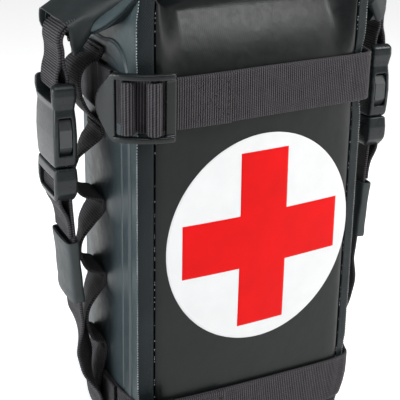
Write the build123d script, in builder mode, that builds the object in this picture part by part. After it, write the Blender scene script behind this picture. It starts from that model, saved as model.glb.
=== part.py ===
from build123d import *
from math import sin, cos, tan, atan2, hypot, radians, degrees, sqrt, pi
import os

os.makedirs("parts", exist_ok=True)

# ---------------------------------------------------------------- driving dimensions (mm)
HALF_W = 69.0          # half width between the front corners
Y_FRONT = -45.5        # plane of the front corners
Y_REAR = 45.5          # plane of the back panel's corners
SKEW_DEG = 8.0         # the stuffed pouch leans out of square in plan by this angle
FRONT_BULGE = 1.9      # crown of the front panel
SIDE_BULGE = 2.5       # crown of the side panels
REAR_BULGE = 2.5       # crown of the back panel
WALL = 1.5             # coated fabric with its foam lining
BODY_TOP = 240.0       # where the straight walls end and the collar starts
BODY_LOW = 2.2         # where the straight walls start, above the base
SEAM = 60.0            # half width of the front panel between the border strips
WEB_W = 25.4           # webbing width
WEB_T = 1.6            # webbing thickness
BADGE_R = 56.3         # white disc
BADGE_X, BADGE_Z = 1.54, 128.0      # disc centre along the front panel, and its height
CROSS_L, CROSS_A = 47.6, 14.4       # cross: half length and half arm width
TOP_STRAP_Z = 206.3    # middle of the top compression strap
LOW_STRAP_Z = 32.5     # middle of the bottom compression strap
LOW_STRAP_TILT = 2.2   # the bottom strap runs down to the right by this angle
DAISY_Y = 8.0          # middle of the daisy-chain webbing, across the side
DAISY_T = 1.5
TACKS = [227.0, 184.0, 144.0, 103.0, 62.0, 7.2]     # heights of the daisy-chain's tacks
LOOP_OUT = [14.0, 14.0, 12.0, 9.5, 5.2]              # how far each loop stands out
STRAP_X = 97.5         # the closure strap's middle plane, out from the centre at Y 0
FEM_Z0, FEM_Z1 = 171.0, 213.0       # female half
MALE_Z0, MALE_Z1 = 153.0, 170.8     # male half's body
BUC_W, BUC_T = 33.0, 12.0           # side-release buckle width and thickness
ROLL_Y, ROLL_T = 17.0, 14.0         # roll: half width front to back, thickness
ROLL_X = 98.0          # half length of the roll

K = tan(radians(SKEW_DEG))
CS, SN = cos(radians(SKEW_DEG)), sin(radians(SKEW_DEG))


def m(u, y):
    """Plan point from square coordinates to the leaning ones."""
    return (u + K * y, y)


def save(bp, node):
    bp.part.label = node
    export_step(bp.part, "parts/" + node + ".step")
    print(node, "volume", round(bp.part.volume, 1))


def mid(a, b, t=0.5):
    return (a[0] + (b[0] - a[0]) * t, a[1] + (b[1] - a[1]) * t)


def side_u(y, off=0.0):
    """Outer face of the right side panel at depth y, off mm further out."""
    return HALF_W + SIDE_BULGE * (1 - (y / Y_REAR) ** 2) + off


def front_y(u, off=0.0):
    """Outer face of the front panel at u, off mm further out."""
    return Y_FRONT - FRONT_BULGE * (1 - (u / SEAM) ** 2) - off


def arc(p, q, r):
    ThreePointArc(m(*p), m(*q), m(*r))


def line(p, q):
    Line(m(*p), m(*q))


# ---------------------------------------------------------------- body shell
# front panel, between its two weld seams
with BuildPart() as front_panel:
    with BuildSketch(Plane.XY.offset(BODY_LOW)):
        with BuildLine():
            arc((-SEAM, Y_FRONT), (0, Y_FRONT - FRONT_BULGE), (SEAM, Y_FRONT))
            line((SEAM, Y_FRONT), (SEAM, Y_FRONT + WALL))
            arc((SEAM, Y_FRONT + WALL), (0, Y_FRONT - FRONT_BULGE + WALL), (-SEAM, Y_FRONT + WALL))
            line((-SEAM, Y_FRONT + WALL), (-SEAM, Y_FRONT))
        make_face()
    extrude(amount=BODY_TOP - BODY_LOW)
save(front_panel, "front_panel")

# border strips and side panels, left (s = -1) and right (s = 1)
for s, tag in ((-1, "left"), (1, "right")):
    with BuildPart() as strip:
        with BuildSketch(Plane.XY.offset(BODY_LOW)):
            with BuildLine():
                line((s * 61.2, Y_FRONT), (s * 67.2, Y_FRONT))
                arc((s * 67.2, Y_FRONT), (s * 68.5, Y_FRONT + 0.5), (s * 69.0, Y_FRONT + 1.45))
                line((s * 69.0, Y_FRONT + 1.45), (s * 61.2, Y_FRONT + 1.45))
                line((s * 61.2, Y_FRONT + 1.45), (s * 61.2, Y_FRONT))
            make_face()
        extrude(amount=BODY_TOP - BODY_LOW)
    save(strip, tag + "_border_strip")

    ys, ye = Y_FRONT + 1.55, 33.0
    ui, ue = HALF_W, side_u(ye)
    with BuildPart() as side_panel:
        with BuildSketch(Plane.XY.offset(BODY_LOW)):
            with BuildLine():
                line((s * 56.0, ys), (s * ui, ys))
                arc((s * ui, ys), (s * side_u(-5.5), -5.5), (s * ue, ye))
                line((s * ue, ye), (s * (ue - WALL), ye))
                arc((s * (ue - WALL), ye), (s * (side_u(-5.5) - WALL), -5.5), (s * (ui - WALL), ys + 1.2))
                line((s * (ui - WALL), ys + 1.2), (s * 56.0, ys + 1.2))
                line((s * 56.0, ys + 1.2), (s * 56.0, ys))
            make_face()
        extrude(amount=BODY_TOP - BODY_LOW)
    save(side_panel, tag + "_side_panel")

# back panel, with its rounded rear corners
ub, yb = side_u(33.2), 33.2
with BuildPart() as back_panel:
    with BuildSketch(Plane.XY.offset(BODY_LOW)):
        with BuildLine():
            for s in (-1, 1):
                arc((s * ub, yb), (s * (ub - 3.2), yb + 9.0), (s * (ub - 12.5), Y_REAR))
                arc((s * (ub - WALL), yb), (s * (ub - 3.2 - 1.1), yb + 8.0), (s * (ub - 12.5), Y_REAR - WALL))
                line((s * ub, yb), (s * (ub - WALL), yb))
            arc((-(ub - 12.5), Y_REAR), (0, Y_REAR + REAR_BULGE), (ub - 12.5, Y_REAR))
            arc((-(ub - 12.5), Y_REAR - WALL), (0, Y_REAR + REAR_BULGE - WALL), (ub - 12.5, Y_REAR - WALL))
        make_face()
    extrude(amount=BODY_TOP - BODY_LOW)
save(back_panel, "back_panel")

# bottom panel: a flat plate with softened corners
with BuildPart() as bottom_panel:
    with BuildSketch(Plane.XY):
        with BuildLine():
            pts = [(-66, -43), (66, -43), (66, 38), (60, 43), (-60, 43), (-66, 38)]
            Polyline(*[m(*p) for p in pts], close=True)
        make_face()
    extrude(amount=2.1)
    fillet(bottom_panel.edges().filter_by(Axis.Z), radius=3.0)
save(bottom_panel, "bottom_panel")

# collar: slopes in from the straight walls to the narrow mouth under the roll
NECK_Z = 249.0
with BuildPart() as collar:
    with BuildSketch(Plane.XY.offset(BODY_TOP + 0.1)):
        with BuildLine():
            Polyline(*[m(*p) for p in [(-69, -46), (69, -46), (71, 0), (69, 44), (-69, 44), (-71, 0)]], close=True)
        make_face()
    with BuildSketch(Plane.XY.offset(NECK_Z)):
        with BuildLine():
            Polyline(*[m(*p) for p in [(-52, -8), (52, -8), (53, 0), (52, 8), (-52, 8), (-53, 0)]], close=True)
        make_face()
    loft()
    with BuildSketch(Plane.XY.offset(BODY_TOP + 0.1)):
        with BuildLine():
            Polyline(*[m(*p) for p in [(-61, -38), (61, -38), (63, 0), (61, 36), (-61, 36), (-63, 0)]], close=True)
        make_face()
    with BuildSketch(Plane.XY.offset(NECK_Z)):
        with BuildLine():
            Polyline(*[m(*p) for p in [(-48, -3), (48, -3), (49, 0), (48, 3), (-48, 3), (-49, 0)]], close=True)
        make_face()
    loft(mode=Mode.SUBTRACT)
save(collar, "collar")

# ---------------------------------------------------------------- roll-top closure
# the roll lies along X and droops at both ends, where the straps pull it down
def arch(z_mid, z_end, x_end):
    ThreePointArc((-x_end, z_end), (0, z_mid), (x_end, z_end))


with BuildPart() as roll_closure:
    with BuildSketch(Plane.XZ):
        with BuildLine():
            arch(271.0, 245.0, ROLL_X)
            Line((ROLL_X, 245.0), (ROLL_X, 231.0))
            arch(257.0, 231.0, ROLL_X)
            Line((-ROLL_X, 231.0), (-ROLL_X, 245.0))
        make_face()
    extrude(amount=ROLL_Y, both=True)
    fillet(roll_closure.edges().filter_by(GeomType.CIRCLE), radius=5.5)
    with BuildSketch(Plane.XZ):
        with BuildLine():
            arch(264.9, 246.6, 84.0)
            Line((84.0, 246.6), (84.0, 244.8))
            arch(263.1, 244.8, 84.0)
            Line((-84.0, 244.8), (-84.0, 246.6))
        make_face()
    extrude(amount=11.3, both=True, mode=Mode.SUBTRACT)
save(roll_closure, "roll_closure")

with BuildPart() as roll_stiffener:
    with BuildSketch(Plane.XZ):
        with BuildLine():
            arch(264.7, 246.6, 83.0)
            Line((83.0, 246.6), (83.0, 245.6))
            arch(263.5, 245.6, 83.0)
            Line((-83.0, 245.6), (-83.0, 246.6))
        make_face()
    extrude(amount=11.0, both=True)
save(roll_stiffener, "roll_stiffener")

# the flattened mouth of the collar, which runs up into the roll
with BuildPart() as collar_neck:
    with BuildSketch(Plane.XZ):
        with BuildLine():
            Line((-48.0, NECK_Z + 0.1), (48.0, NECK_Z + 0.1))
            Line((48.0, NECK_Z + 0.1), (48.0, 250.7))
            ThreePointArc((48.0, 250.7), (0, 256.8), (-48.0, 250.7))
            Line((-48.0, 250.7), (-48.0, NECK_Z + 0.1))
        make_face()
    extrude(amount=6.0, both=True)
save(collar_neck, "collar_neck")

# ---------------------------------------------------------------- badge
def front_film(y_in, y_out):
    """Outline of a plan band that follows the front panel's crown, y_in to y_out mm proud of it."""
    arc((-SEAM, Y_FRONT - y_out), (0, Y_FRONT - FRONT_BULGE - y_out), (SEAM, Y_FRONT - y_out))
    line((SEAM, Y_FRONT - y_out), (SEAM, Y_FRONT - y_in))
    arc((SEAM, Y_FRONT - y_in), (0, Y_FRONT - FRONT_BULGE - y_in), (-SEAM, Y_FRONT - y_in))
    line((-SEAM, Y_FRONT - y_in), (-SEAM, Y_FRONT - y_out))


BX = BADGE_X + K * Y_FRONT
with BuildPart() as badge_disc:
    with BuildSketch(Plane.XY.offset(60)):
        with BuildLine():
            front_film(0.0, 0.3)
        make_face()
    extrude(amount=140)
    with BuildSketch(Plane.XZ.offset(30)):
        with Locations((BX, BADGE_Z)):
            Circle(BADGE_R)
    extrude(amount=40, mode=Mode.INTERSECT)
save(badge_disc, "badge_disc")

with BuildPart() as badge_cross:
    with BuildSketch(Plane.XY.offset(60)):
        with BuildLine():
            front_film(0.32, 0.55)
        make_face()
    extrude(amount=140)
    with BuildSketch(Plane.XZ.offset(30)):
        with Locations((BX, BADGE_Z)):
            Rectangle(2 * CROSS_L, 2 * CROSS_A)
            Rectangle(2 * CROSS_A, 2 * CROSS_L)
    extrude(amount=40, mode=Mode.INTERSECT)
save(badge_cross, "badge_cross")

# ---------------------------------------------------------------- side patches and daisy chains
for s, tag in ((-1, "left"), (1, "right")):
    with BuildPart() as patch:
        with BuildSketch(Plane.XY.offset(5.0)):
            with BuildLine():
                arc((s * side_u(-26, 0.8), -26.0), (s * side_u(0, 0.8), 0.0), (s * side_u(32, 0.8), 32.0))
                line((s * side_u(32, 0.8), 32.0), (s * side_u(32, 0.08), 32.0))
                arc((s * side_u(32, 0.08), 32.0), (s * side_u(0, 0.08), 0.0), (s * side_u(-26, 0.08), -26.0))
                line((s * side_u(-26, 0.08), -26.0), (s * side_u(-26, 0.8), -26.0))
            make_face()
        extrude(amount=232.0)
        with BuildSketch(Plane.YZ.offset(-100)):
            with BuildLine():
                Line((-26, 5), (32, 5))
                Line((32, 5), (32, 225))
                ThreePointArc((32, 225), (28.5, 233.5), (20, 237))
                Line((20, 237), (4, 237))
                ThreePointArc((4, 237), (-17.2, 228.2), (-26, 207))
                Line((-26, 207), (-26, 5))
            make_face()
        extrude(amount=200.0, mode=Mode.INTERSECT)
    save(patch, tag + "_side_patch")


def side_plane(s, x_out, y, z=0.0):
    """Upright plane facing out of side s: local X runs front to back, local Y up, local Z out."""
    n = Vector(s * CS, -s * SN, 0)
    t = Vector(SN, CS, 0)
    return Plane(origin=(s * x_out + K * y, y, z), x_dir=(t if s > 0 else -t), z_dir=n)


def elev_plane(s, x_out, y):
    """Plane through the side straps' section: local X points out, local Y up, and it faces along the strap's width."""
    n = Vector(s * CS, -s * SN, 0)
    t = Vector(SN, CS, 0)
    return Plane(origin=(s * x_out + K * y, y, 0), x_dir=n, z_dir=n.cross(Vector(0, 0, 1)))


for s, tag in ((-1, "left"), (1, "right")):
    u0 = side_u(DAISY_Y, 0.95)           # the webbing's inner face at a tack
    pl = elev_plane(s, u0, DAISY_Y)
    with BuildPart() as daisy:
        for j, zt in enumerate(TACKS):
            h = 3.0
            with BuildSketch(pl):
                with Locations((DAISY_T / 2, zt)):
                    Rectangle(DAISY_T, 2 * h)
            extrude(amount=WEB_W / 2, both=True)
        for i, out in enumerate(LOOP_OUT):
            z1, z0 = TACKS[i] - 3.0, TACKS[i + 1] + 3.0
            zm = (z0 + z1) / 2
            with BuildSketch(pl):
                with BuildLine():
                    Spline((DAISY_T, z1), (out * 0.72, z1 - 6.0), (out, zm), (out * 0.72, z0 + 6.0), (DAISY_T, z0),
                           tangents=[(0.3, -1), (-0.3, -1)])
                    Line((DAISY_T, z0), (0, z0))
                    Line((0, z0), (0, z0 + 2.0))
                    Spline((0, z0 + 2.0), ((out - DAISY_T) * 0.74, z0 + 8.0), (out - DAISY_T, zm),
                           ((out - DAISY_T) * 0.74, z1 - 8.0), (0, z1 - 2.0), tangents=[(0.4, 1), (-0.4, 1)])
                    Line((0, z1 - 2.0), (0, z1))
                    Line((0, z1), (DAISY_T, z1))
                make_face()
            extrude(amount=WEB_W / 2, both=True)
    save(daisy, tag + "_daisy_chain")

    with BuildPart() as tacks:
        for zt in TACKS[:-1]:
            with BuildSketch(pl):
                with Locations((DAISY_T + 0.25, zt)):
                    Rectangle(0.4, 2.6)
            extrude(amount=11.0, both=True)
    save(tacks, tag + "_daisy_tacks")

# ---------------------------------------------------------------- compression straps
def strap_ring(c, extra=1.35):
    """Closed plan line round the body, c mm proud of it (and of the side patches)."""
    cr = Y_FRONT - c
    for s in (-1, 1):
        us = HALF_W + c + 0.2
        arc((s * 66.0, cr), (s * (us - 0.75), cr + 0.7), (s * us, Y_FRONT + 2.6))
        arc((s * us, Y_FRONT + 2.6), (s * (side_u(0) + c + extra), 0.0), (s * (side_u(33) + c + 0.6), 33.0))
        arc((s * (side_u(33) + c + 0.6), 33.0), (s * (side_u(33) - 3.2 + 0.75 * c), 42.6 + 0.7 * c), (s * (side_u(33) - 12.5), Y_REAR + c))
    arc((-(side_u(33) - 12.5), Y_REAR + c), (0, Y_REAR + REAR_BULGE + c), (side_u(33) - 12.5, Y_REAR + c))
    arc((-66.0, cr), (0, Y_FRONT - FRONT_BULGE - 0.7 - c), (66.0, cr))


RIN, ROUT = 0.25, 0.25 + WEB_T

def circle3(p1, p2, p3):
    ax, ay = p1; bx, by = p2; cx, cy = p3
    d = 2 * (ax * (by - cy) + bx * (cy - ay) + cx * (ay - by))
    ux = ((ax**2 + ay**2) * (by - cy) + (bx**2 + by**2) * (cy - ay) + (cx**2 + cy**2) * (ay - by)) / d
    uy = ((ax**2 + ay**2) * (cx - bx) + (bx**2 + by**2) * (ax - cx) + (cx**2 + cy**2) * (bx - ax)) / d
    return ux, uy, hypot(ax - ux, ay - uy)


# the ladder-lock's bowed middle line, in plan: rail end, middle, thumb end
LP, LM, LQ = m(-53.2, -53.4), m(-72.8, -47.0), m(-85.4, -29.0)
LCX, LCY, LR = circle3(LP, LM, LQ)
A0 = atan2(LP[1] - LCY, LP[0] - LCX)
A1 = atan2(LQ[1] - LCY, LQ[0] - LCX)
if A1 > A0:
    A1 -= 2 * pi
ARC_LEN = LR * abs(A1 - A0)
print("ladder-lock bow radius", round(LR, 2), "length", round(ARC_LEN, 2))


def on_arc(l, dr=0.0):
    """Point on the ladder-lock's bow, l mm from its rail end, dr mm outward."""
    a = A0 + (A1 - A0) * l / ARC_LEN
    return (LCX + (LR + dr) * cos(a), LCY + (LR + dr) * sin(a))


def arc_band(l0, l1, r0, r1):
    """Outline of a stretch of the bow, from r0 to r1 either side of its middle line."""
    ThreePointArc(on_arc(l0, r1), on_arc((l0 + l1) / 2, r1), on_arc(l1, r1))
    Line(on_arc(l1, r1), on_arc(l1, r0))
    ThreePointArc(on_arc(l1, r0), on_arc((l0 + l1) / 2, r0), on_arc(l0, r0))
    Line(on_arc(l0, r0), on_arc(l0, r1))


L_RAIL = 5.2           # end rail
L_B1 = 10.6            # middle of the fixed bar, held in the sewn loop
L_B2 = 23.0            # middle of the adjusting bar
L_TAB = 29.0           # where the thumb tab starts
BAR_R = 1.6
B1 = on_arc(L_B1, 0.7)
B2 = on_arc(L_B2, -0.2)

for tag, zc, tilt in (("top", TOP_STRAP_Z, 0.0), ("bottom", LOW_STRAP_Z, LOW_STRAP_TILT)):
    # plane across the strap's width at its middle; the bottom one runs down to the right
    xd = Vector(cos(radians(tilt)), 0, -sin(radians(tilt)))
    base = Plane(origin=(0, 0, zc), x_dir=xd, z_dir=xd.cross(Vector(0, 1, 0)))

    with BuildPart() as strap:
        with BuildSketch(base):
            with BuildLine():
                strap_ring(ROUT)
            make_face()
            with BuildLine():
                strap_ring(RIN)
            make_face(mode=Mode.SUBTRACT)
        extrude(amount=WEB_W / 2, both=True, dir=(0, 0, 1))
    save(strap, tag + "_strap")

    # the strap's end, folded round the fixed bar and sewn back on itself
    yl = [front_y(u, 0.7 + ROUT + 0.05) for u in (-21.0, -38.0, -55.0)]
    with BuildPart() as fold:
        with BuildSketch(base):
            with BuildLine():
                arc((-21.0, yl[0]), (-38.0, yl[1]), (-55.0, yl[2]))
                line((-55.0, yl[2]), (-55.0, yl[2] - 1.5))
                arc((-55.0, yl[2] - 1.5), (-38.0, yl[1] - WEB_T), (-21.0, yl[0] - WEB_T))
                line((-21.0, yl[0] - WEB_T), (-21.0, yl[0]))
            make_face()
            with BuildLine():
                a = m(-55.2, yl[2])
                b = m(-55.2, yl[2] - 1.5)
                Polyline(m(-54.9, yl[2]), m(-54.9, yl[2] - 1.5), (B1[0] + 2.5, B1[1] + 2.0), (B1[0] + 0.5, B1[1] + 3.3), close=True)
            make_face()
            with Locations(B1):
                Circle(BAR_R + 0.35 + WEB_T)
            with Locations(B1):
                Circle(BAR_R + 0.35, mode=Mode.SUBTRACT)
        extrude(amount=WEB_W / 2, both=True)
    save(fold, tag + "_strap_fold")

    with BuildPart() as lock:
        # side rails, end rail, thumb tab and the two bars
        with BuildSketch(base):
            with BuildLine():
                arc_band(0.0, ARC_LEN, -1.3, 1.3)
            make_face()
        extrude(amount=16.6, both=True)
        with BuildSketch(base):
            with BuildLine():
                arc_band(L_RAIL, L_TAB, -3.0, 3.0)
            make_face()
        extrude(amount=13.4, both=True, mode=Mode.SUBTRACT)
        with BuildSketch(base):
            with Locations(B1, B2):
                Circle(BAR_R)
        extrude(amount=13.6, both=True)
        # rolled edges above and below
        for e in (-1, 1):
            with BuildSketch(Plane(origin=base.origin + base.z_dir * (e * 15.0), x_dir=base.x_dir, z_dir=base.z_dir)):
                with BuildLine():
                    arc_band(1.0, ARC_LEN - 12.0, -1.4, 2.6)
                make_face()
            extrude(amount=1.5, both=True)
        # rounded thumb end
        nd = (cos(A0 + (A1 - A0) * 0.86), sin(A0 + (A1 - A0) * 0.86))
        td = (-nd[1], nd[0])
        tp = on_arc(ARC_LEN - 12.0, 0)
        with BuildSketch(Plane(origin=(tp[0] - 20 * nd[0], tp[1] - 20 * nd[1], zc), x_dir=(-td[0], -td[1], 0), z_dir=(nd[0], nd[1], 0))):
            with BuildLine():
                Line((-4, 18.5), (-4, 24))
                Line((-4, 24), (22, 24))
                Line((22, 24), (22, -24))
                Line((22, -24), (-4, -24))
                Line((-4, -24), (-4, -18.5))
                Spline((-4, -18.5), (4.5, -13.0), (12.0, 0.0), (4.5, 13.0), (-4, 18.5), tangents=[(1, 0.2), (-1, 0.2)])
            make_face()
        extrude(amount=40.0, mode=Mode.SUBTRACT)
    save(lock, tag + "_ladder_lock")

    # the adjusting end where it wraps the second bar, and the free tail along the side
    with BuildPart() as adj:
        with BuildSketch(base):
            with Locations(B2):
                Circle(BAR_R + 0.05 + WEB_T)
                Circle(BAR_R + 0.05, mode=Mode.SUBTRACT)
        extrude(amount=WEB_W / 2, both=True)
    save(adj, tag + "_adjuster_fold")

    with BuildPart() as tail:
        with BuildSketch(base):
            with BuildLine():
                o, i2 = ROUT + 1.35 + 0.15 + WEB_T, ROUT + 1.35 + 0.15
                arc((-side_u(-22, i2), -22.0), (-side_u(-14, i2), -14.0), (-side_u(-6, i2), -6.0))
                line((-side_u(-6, i2), -6.0), (-side_u(-6, o), -6.0))
                arc((-side_u(-6, o), -6.0), (-side_u(-14, o), -14.0), (-side_u(-22, o), -22.0))
                line((-side_u(-22, o), -22.0), (-side_u(-22, i2), -22.0))
            make_face()
        extrude(amount=WEB_W / 2, both=True, dir=(0, 0, 1))
    save(tail, tag + "_strap_tail")

    # box-and-cross stitching where the fold is sewn down
    ym = front_y(-33.25, 0.7 + ROUT + 0.05) - WEB_T - 0.14
    with BuildPart() as stitch:
        with BuildSketch(Plane(origin=(0, ym - 0.76, 0), x_dir=(1, 0, 0), z_dir=(0, -1, 0))):
            x0, x1 = -43.0 + K * ym, -23.5 + K * ym
            zz = zc - (x0 + x1) / 2 * tan(radians(tilt)) if tilt else zc
            for zl in (zz - 9.6, zz + 9.6):
                with Locations(((x0 + x1) / 2, zl)):
                    Rectangle(x1 - x0, 0.8)
            for xl in (x0, x1):
                with Locations((xl, zz)):
                    Rectangle(0.8, 20.0)
            for r in (1, -1):
                with Locations(((x0 + x1) / 2, zz)):
                    Rectangle(27.0, 0.8, rotation=r * degrees(atan2(19.2, 19.5)))
        extrude(amount=-0.5)
    save(stitch, tag + "_box_stitch")

# ---------------------------------------------------------------- closure straps with side-release buckles
def offset_band(path, t, side=0.0):
    """Closed outline of a strip t thick whose middle follows path, pushed side mm to its left."""
    left, right = [], []
    n = len(path)
    for i, p in enumerate(path):
        a = path[max(i - 1, 0)]
        b = path[min(i + 1, n - 1)]
        def nrm(p0, p1):
            dx, dy = p1[0] - p0[0], p1[1] - p0[1]
            l = hypot(dx, dy)
            return (-dy / l, dx / l)
        n0 = nrm(a, p) if i > 0 else nrm(p, b)
        n1 = nrm(p, b) if i < n - 1 else nrm(a, p)
        nx, ny = n0[0] + n1[0], n0[1] + n1[1]
        l = hypot(nx, ny)
        nx, ny = nx / l, ny / l
        c = max(0.5, nx * n0[0] + ny * n0[1])
        left.append((p[0] + nx * (side + t / 2) / c, p[1] + ny * (side + t / 2) / c))
        right.append((p[0] + nx * (side - t / 2) / c, p[1] + ny * (side - t / 2) / c))
    return left + right[::-1]


FBAR_Z, FBAR_R = 210.4, 2.0          # the female half's bar, in the tab's fold
MBAR_Z, MBAR_R = 160.5, 2.0          # the male half's bar, in the lower strap's fold
WRAP_IN, WRAP_OUT = 2.05, 2.05 + WEB_T
MID = (WRAP_IN + WRAP_OUT) / 2
LOWER = [(-MID, 160.5), (-MID, 150.0), (-7.2, 90.0), (-12.0, 62.0), (-16.6, 43.0), (-18.1, 28.0), (-19.2, 17.5), (-22.4, 8.5), (-22.4, 3.0)]
TAIL = [(MID, 160.5), (MID, 154.0), (-1.2, 143.0), (-2.25, 133.0)]
RUN = (LOWER[2][0] - LOWER[1][0], LOWER[2][1] - LOWER[1][1])
RL = hypot(*RUN)
RUN = (RUN[0] / RL, RUN[1] / RL)     # down the straight run of the lower strap
KEEP_Z = 114.5                        # middle of the keeper
KEEP_L = 33.0

for s, tag in ((-1, "left"), (1, "right")):
    ep = elev_plane(s, STRAP_X, 0.0)     # section across the strap: X out, Y up
    fp = side_plane(s, STRAP_X, 0.0)     # face of the strap: X across, Y up, Z out

    # webbing tab from the roll's end, folded round the female half's bar
    with BuildPart() as tab:
        with BuildSketch(ep):
            with Locations((0, FBAR_Z)):
                Circle(WRAP_OUT)
            with BuildLine():
                Polyline((-WRAP_OUT, FBAR_Z), (-WRAP_OUT, FBAR_Z + 6), (-WEB_T, FBAR_Z + 14), (-WEB_T, 230.8),
                         (WEB_T, 230.8), (WEB_T, FBAR_Z + 14), (WRAP_OUT, FBAR_Z + 6), (WRAP_OUT, FBAR_Z), close=True)
            make_face()
            with Locations((0, FBAR_Z)):
                Circle(WRAP_IN, mode=Mode.SUBTRACT)
            with BuildLine():
                Polyline((-WRAP_IN, FBAR_Z), (-WRAP_IN, FBAR_Z + 4), (0, FBAR_Z + 10), (WRAP_IN, FBAR_Z + 4), (WRAP_IN, FBAR_Z), close=True)
            make_face(mode=Mode.SUBTRACT)
        extrude(amount=WEB_W / 2, both=True)
    save(tab, tag + "_tab_webbing")

    # female half
    with BuildPart() as female:
        with BuildSketch(fp.offset(-BUC_T / 2)):
            with Locations((0, (FEM_Z0 + FEM_Z1) / 2)):
                RectangleRounded(BUC_W, FEM_Z1 - FEM_Z0, 3.0)
        extrude(amount=BUC_T)
        fillet(female.faces().sort_by(Axis(origin=(0, 0, 0), direction=(s * CS, -s * SN, 0)))[-1].edges(), radius=1.6)
        fillet(female.faces().sort_by(Axis(origin=(0, 0, 0), direction=(s * CS, -s * SN, 0)))[0].edges(), radius=1.6)
        # socket, open at the mouth
        with BuildSketch(fp.offset(-4.2)):
            with Locations((0, (FEM_Z0 - 2 + 200) / 2)):
                Rectangle(29.0, 200 - FEM_Z0 + 2)
        extrude(amount=8.4, mode=Mode.SUBTRACT)
        # side windows for the prongs
        with BuildSketch(fp.offset(-3.6)):
            with Locations((0, 187.0)):
                Rectangle(40.0, 19.0)
        extrude(amount=7.2, mode=Mode.SUBTRACT)
        # strap opening, then its bar
        with BuildSketch(fp.offset(-8)):
            with Locations((0, 209.5)):
                Rectangle(26.4, 11.4)
        extrude(amount=16, mode=Mode.SUBTRACT)
        with BuildSketch(ep):
            with Locations((0, FBAR_Z)):
                Circle(FBAR_R)
        extrude(amount=14.0, both=True)
    save(female, tag + "_buckle_female")

    # male half: body with the strap pocket, its bar, and the guide tongue
    with BuildPart() as male:
        with BuildSketch(fp.offset(-BUC_T / 2)):
            with BuildLine():
                Polyline((-BUC_W / 2, MALE_Z1), (BUC_W / 2, MALE_Z1), (BUC_W / 2, MALE_Z0 + 5), (BUC_W / 2 - 3, MALE_Z0),
                         (-BUC_W / 2 + 3, MALE_Z0), (-BUC_W / 2, MALE_Z0 + 5), close=True)
            make_face()
        extrude(amount=BUC_T)
        fillet(male.faces().sort_by(Axis(origin=(0, 0, 0), direction=(s * CS, -s * SN, 0)))[-1].edges(), radius=1.4)
        fillet(male.faces().sort_by(Axis(origin=(0, 0, 0), direction=(s * CS, -s * SN, 0)))[0].edges(), radius=1.4)
        with BuildSketch(fp.offset(-4.4)):
            with Locations((0, 159.0)):
                Rectangle(26.4, 13.0)
        extrude(amount=8.8, mode=Mode.SUBTRACT)
        with BuildSketch(fp.offset(0)):
            with Locations((0, 161.0)):
                Rectangle(26.4, 9.0)
        extrude(amount=10.0, mode=Mode.SUBTRACT)
        with BuildSketch(ep):
            with Locations((0, MBAR_Z)):
                Circle(MBAR_R)
        extrude(amount=14.0, both=True)
        with BuildSketch(fp.offset(-2.5)):
            with BuildLine():
                Polyline((-3.2, MALE_Z1 - 0.5), (3.2, MALE_Z1 - 0.5), (3.2, 193.0), (1.5, 197.0), (-1.5, 197.0), (-3.2, 193.0), close=True)
            make_face()
        extrude(amount=5.0)
    save(male, tag + "_buckle_male")

    # the two prongs, hinged at their roots
    for f, end in ((-1, "front"), (1, "rear")):
        q = f * s      # local X of the face plane runs front to back on the right, back to front on the left
        prof = [(8.4, 171.3), (12.2, 171.3), (13.6, 178.0), (16.2, 182.0), (16.2, 190.5), (14.0, 195.2), (10.0, 197.6), (8.0, 196.0), (10.6, 189.0), (10.2, 181.0)]
        with BuildPart() as prong:
            with BuildSketch(fp.offset(-3.1)):
                with BuildLine():
                    Polyline(*[(q * a, z) for a, z in prof], close=True)
                make_face()
            extrude(amount=6.2)
            fillet(prong.edges().filter_by(lambda e: abs(e.tangent_at(0.5).dot(fp.z_dir)) > 0.99), radius=0.5)
        save(prong, tag + "_prong_" + end)

    # lower strap, its folded tail, and the keeper
    with BuildPart() as lower:
        with BuildSketch(ep):
            with BuildLine():
                Polyline(*offset_band(LOWER, WEB_T), close=True)
            make_face()
        extrude(amount=WEB_W / 2, both=True)
    save(lower, tag + "_lower_strap")

    with BuildPart() as stail:
        with BuildSketch(ep):
            with BuildLine():
                ThreePointArc((-WRAP_OUT, MBAR_Z + 0.05), (0, MBAR_Z + WRAP_OUT), (WRAP_OUT, MBAR_Z + 0.05))
                Line((WRAP_OUT, MBAR_Z + 0.05), (WRAP_IN, MBAR_Z + 0.05))
                ThreePointArc((WRAP_IN, MBAR_Z + 0.05), (0, MBAR_Z + WRAP_IN), (-WRAP_IN, MBAR_Z + 0.05))
                Line((-WRAP_IN, MBAR_Z + 0.05), (-WRAP_OUT, MBAR_Z + 0.05))
            make_face()
            with BuildLine():
                Polyline(*offset_band([(MID, MBAR_Z + 0.1)] + TAIL[1:], WEB_T), close=True)
            make_face()
        extrude(amount=WEB_W / 2, both=True)
    save(stail, tag + "_strap_tail")

    kc = (LOWER[1][0] + RUN[0] * (LOWER[1][1] - KEEP_Z) / -RUN[1], KEEP_Z)
    nx, nz = -RUN[1], RUN[0]             # outward normal of the run
    kp = Plane(origin=ep.origin + ep.x_dir * kc[0] + Vector(0, 0, kc[1]), x_dir=ep.z_dir,
               z_dir=ep.x_dir * RUN[0] + Vector(0, 0, RUN[1]))
    # local X of kp runs along the strap's width, local Y is its thickness direction
    ysign = 1 if kp.y_dir.dot(ep.x_dir) > 0 else -1
    with BuildPart() as keeper:
        with BuildSketch(kp.offset(-KEEP_L / 2)):
            with Locations((0, ysign * 1.05)):
                RectangleRounded(29.2, 7.0, 2.2)
        extrude(amount=KEEP_L)
        with BuildSketch(kp.offset(-KEEP_L / 2 - 1)):
            with Locations((0, ysign * 1.05)):
                RectangleRounded(26.8, 4.6, 1.0)
        extrude(amount=KEEP_L + 2, mode=Mode.SUBTRACT)
    save(keeper, tag + "_strap_keeper")

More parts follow.
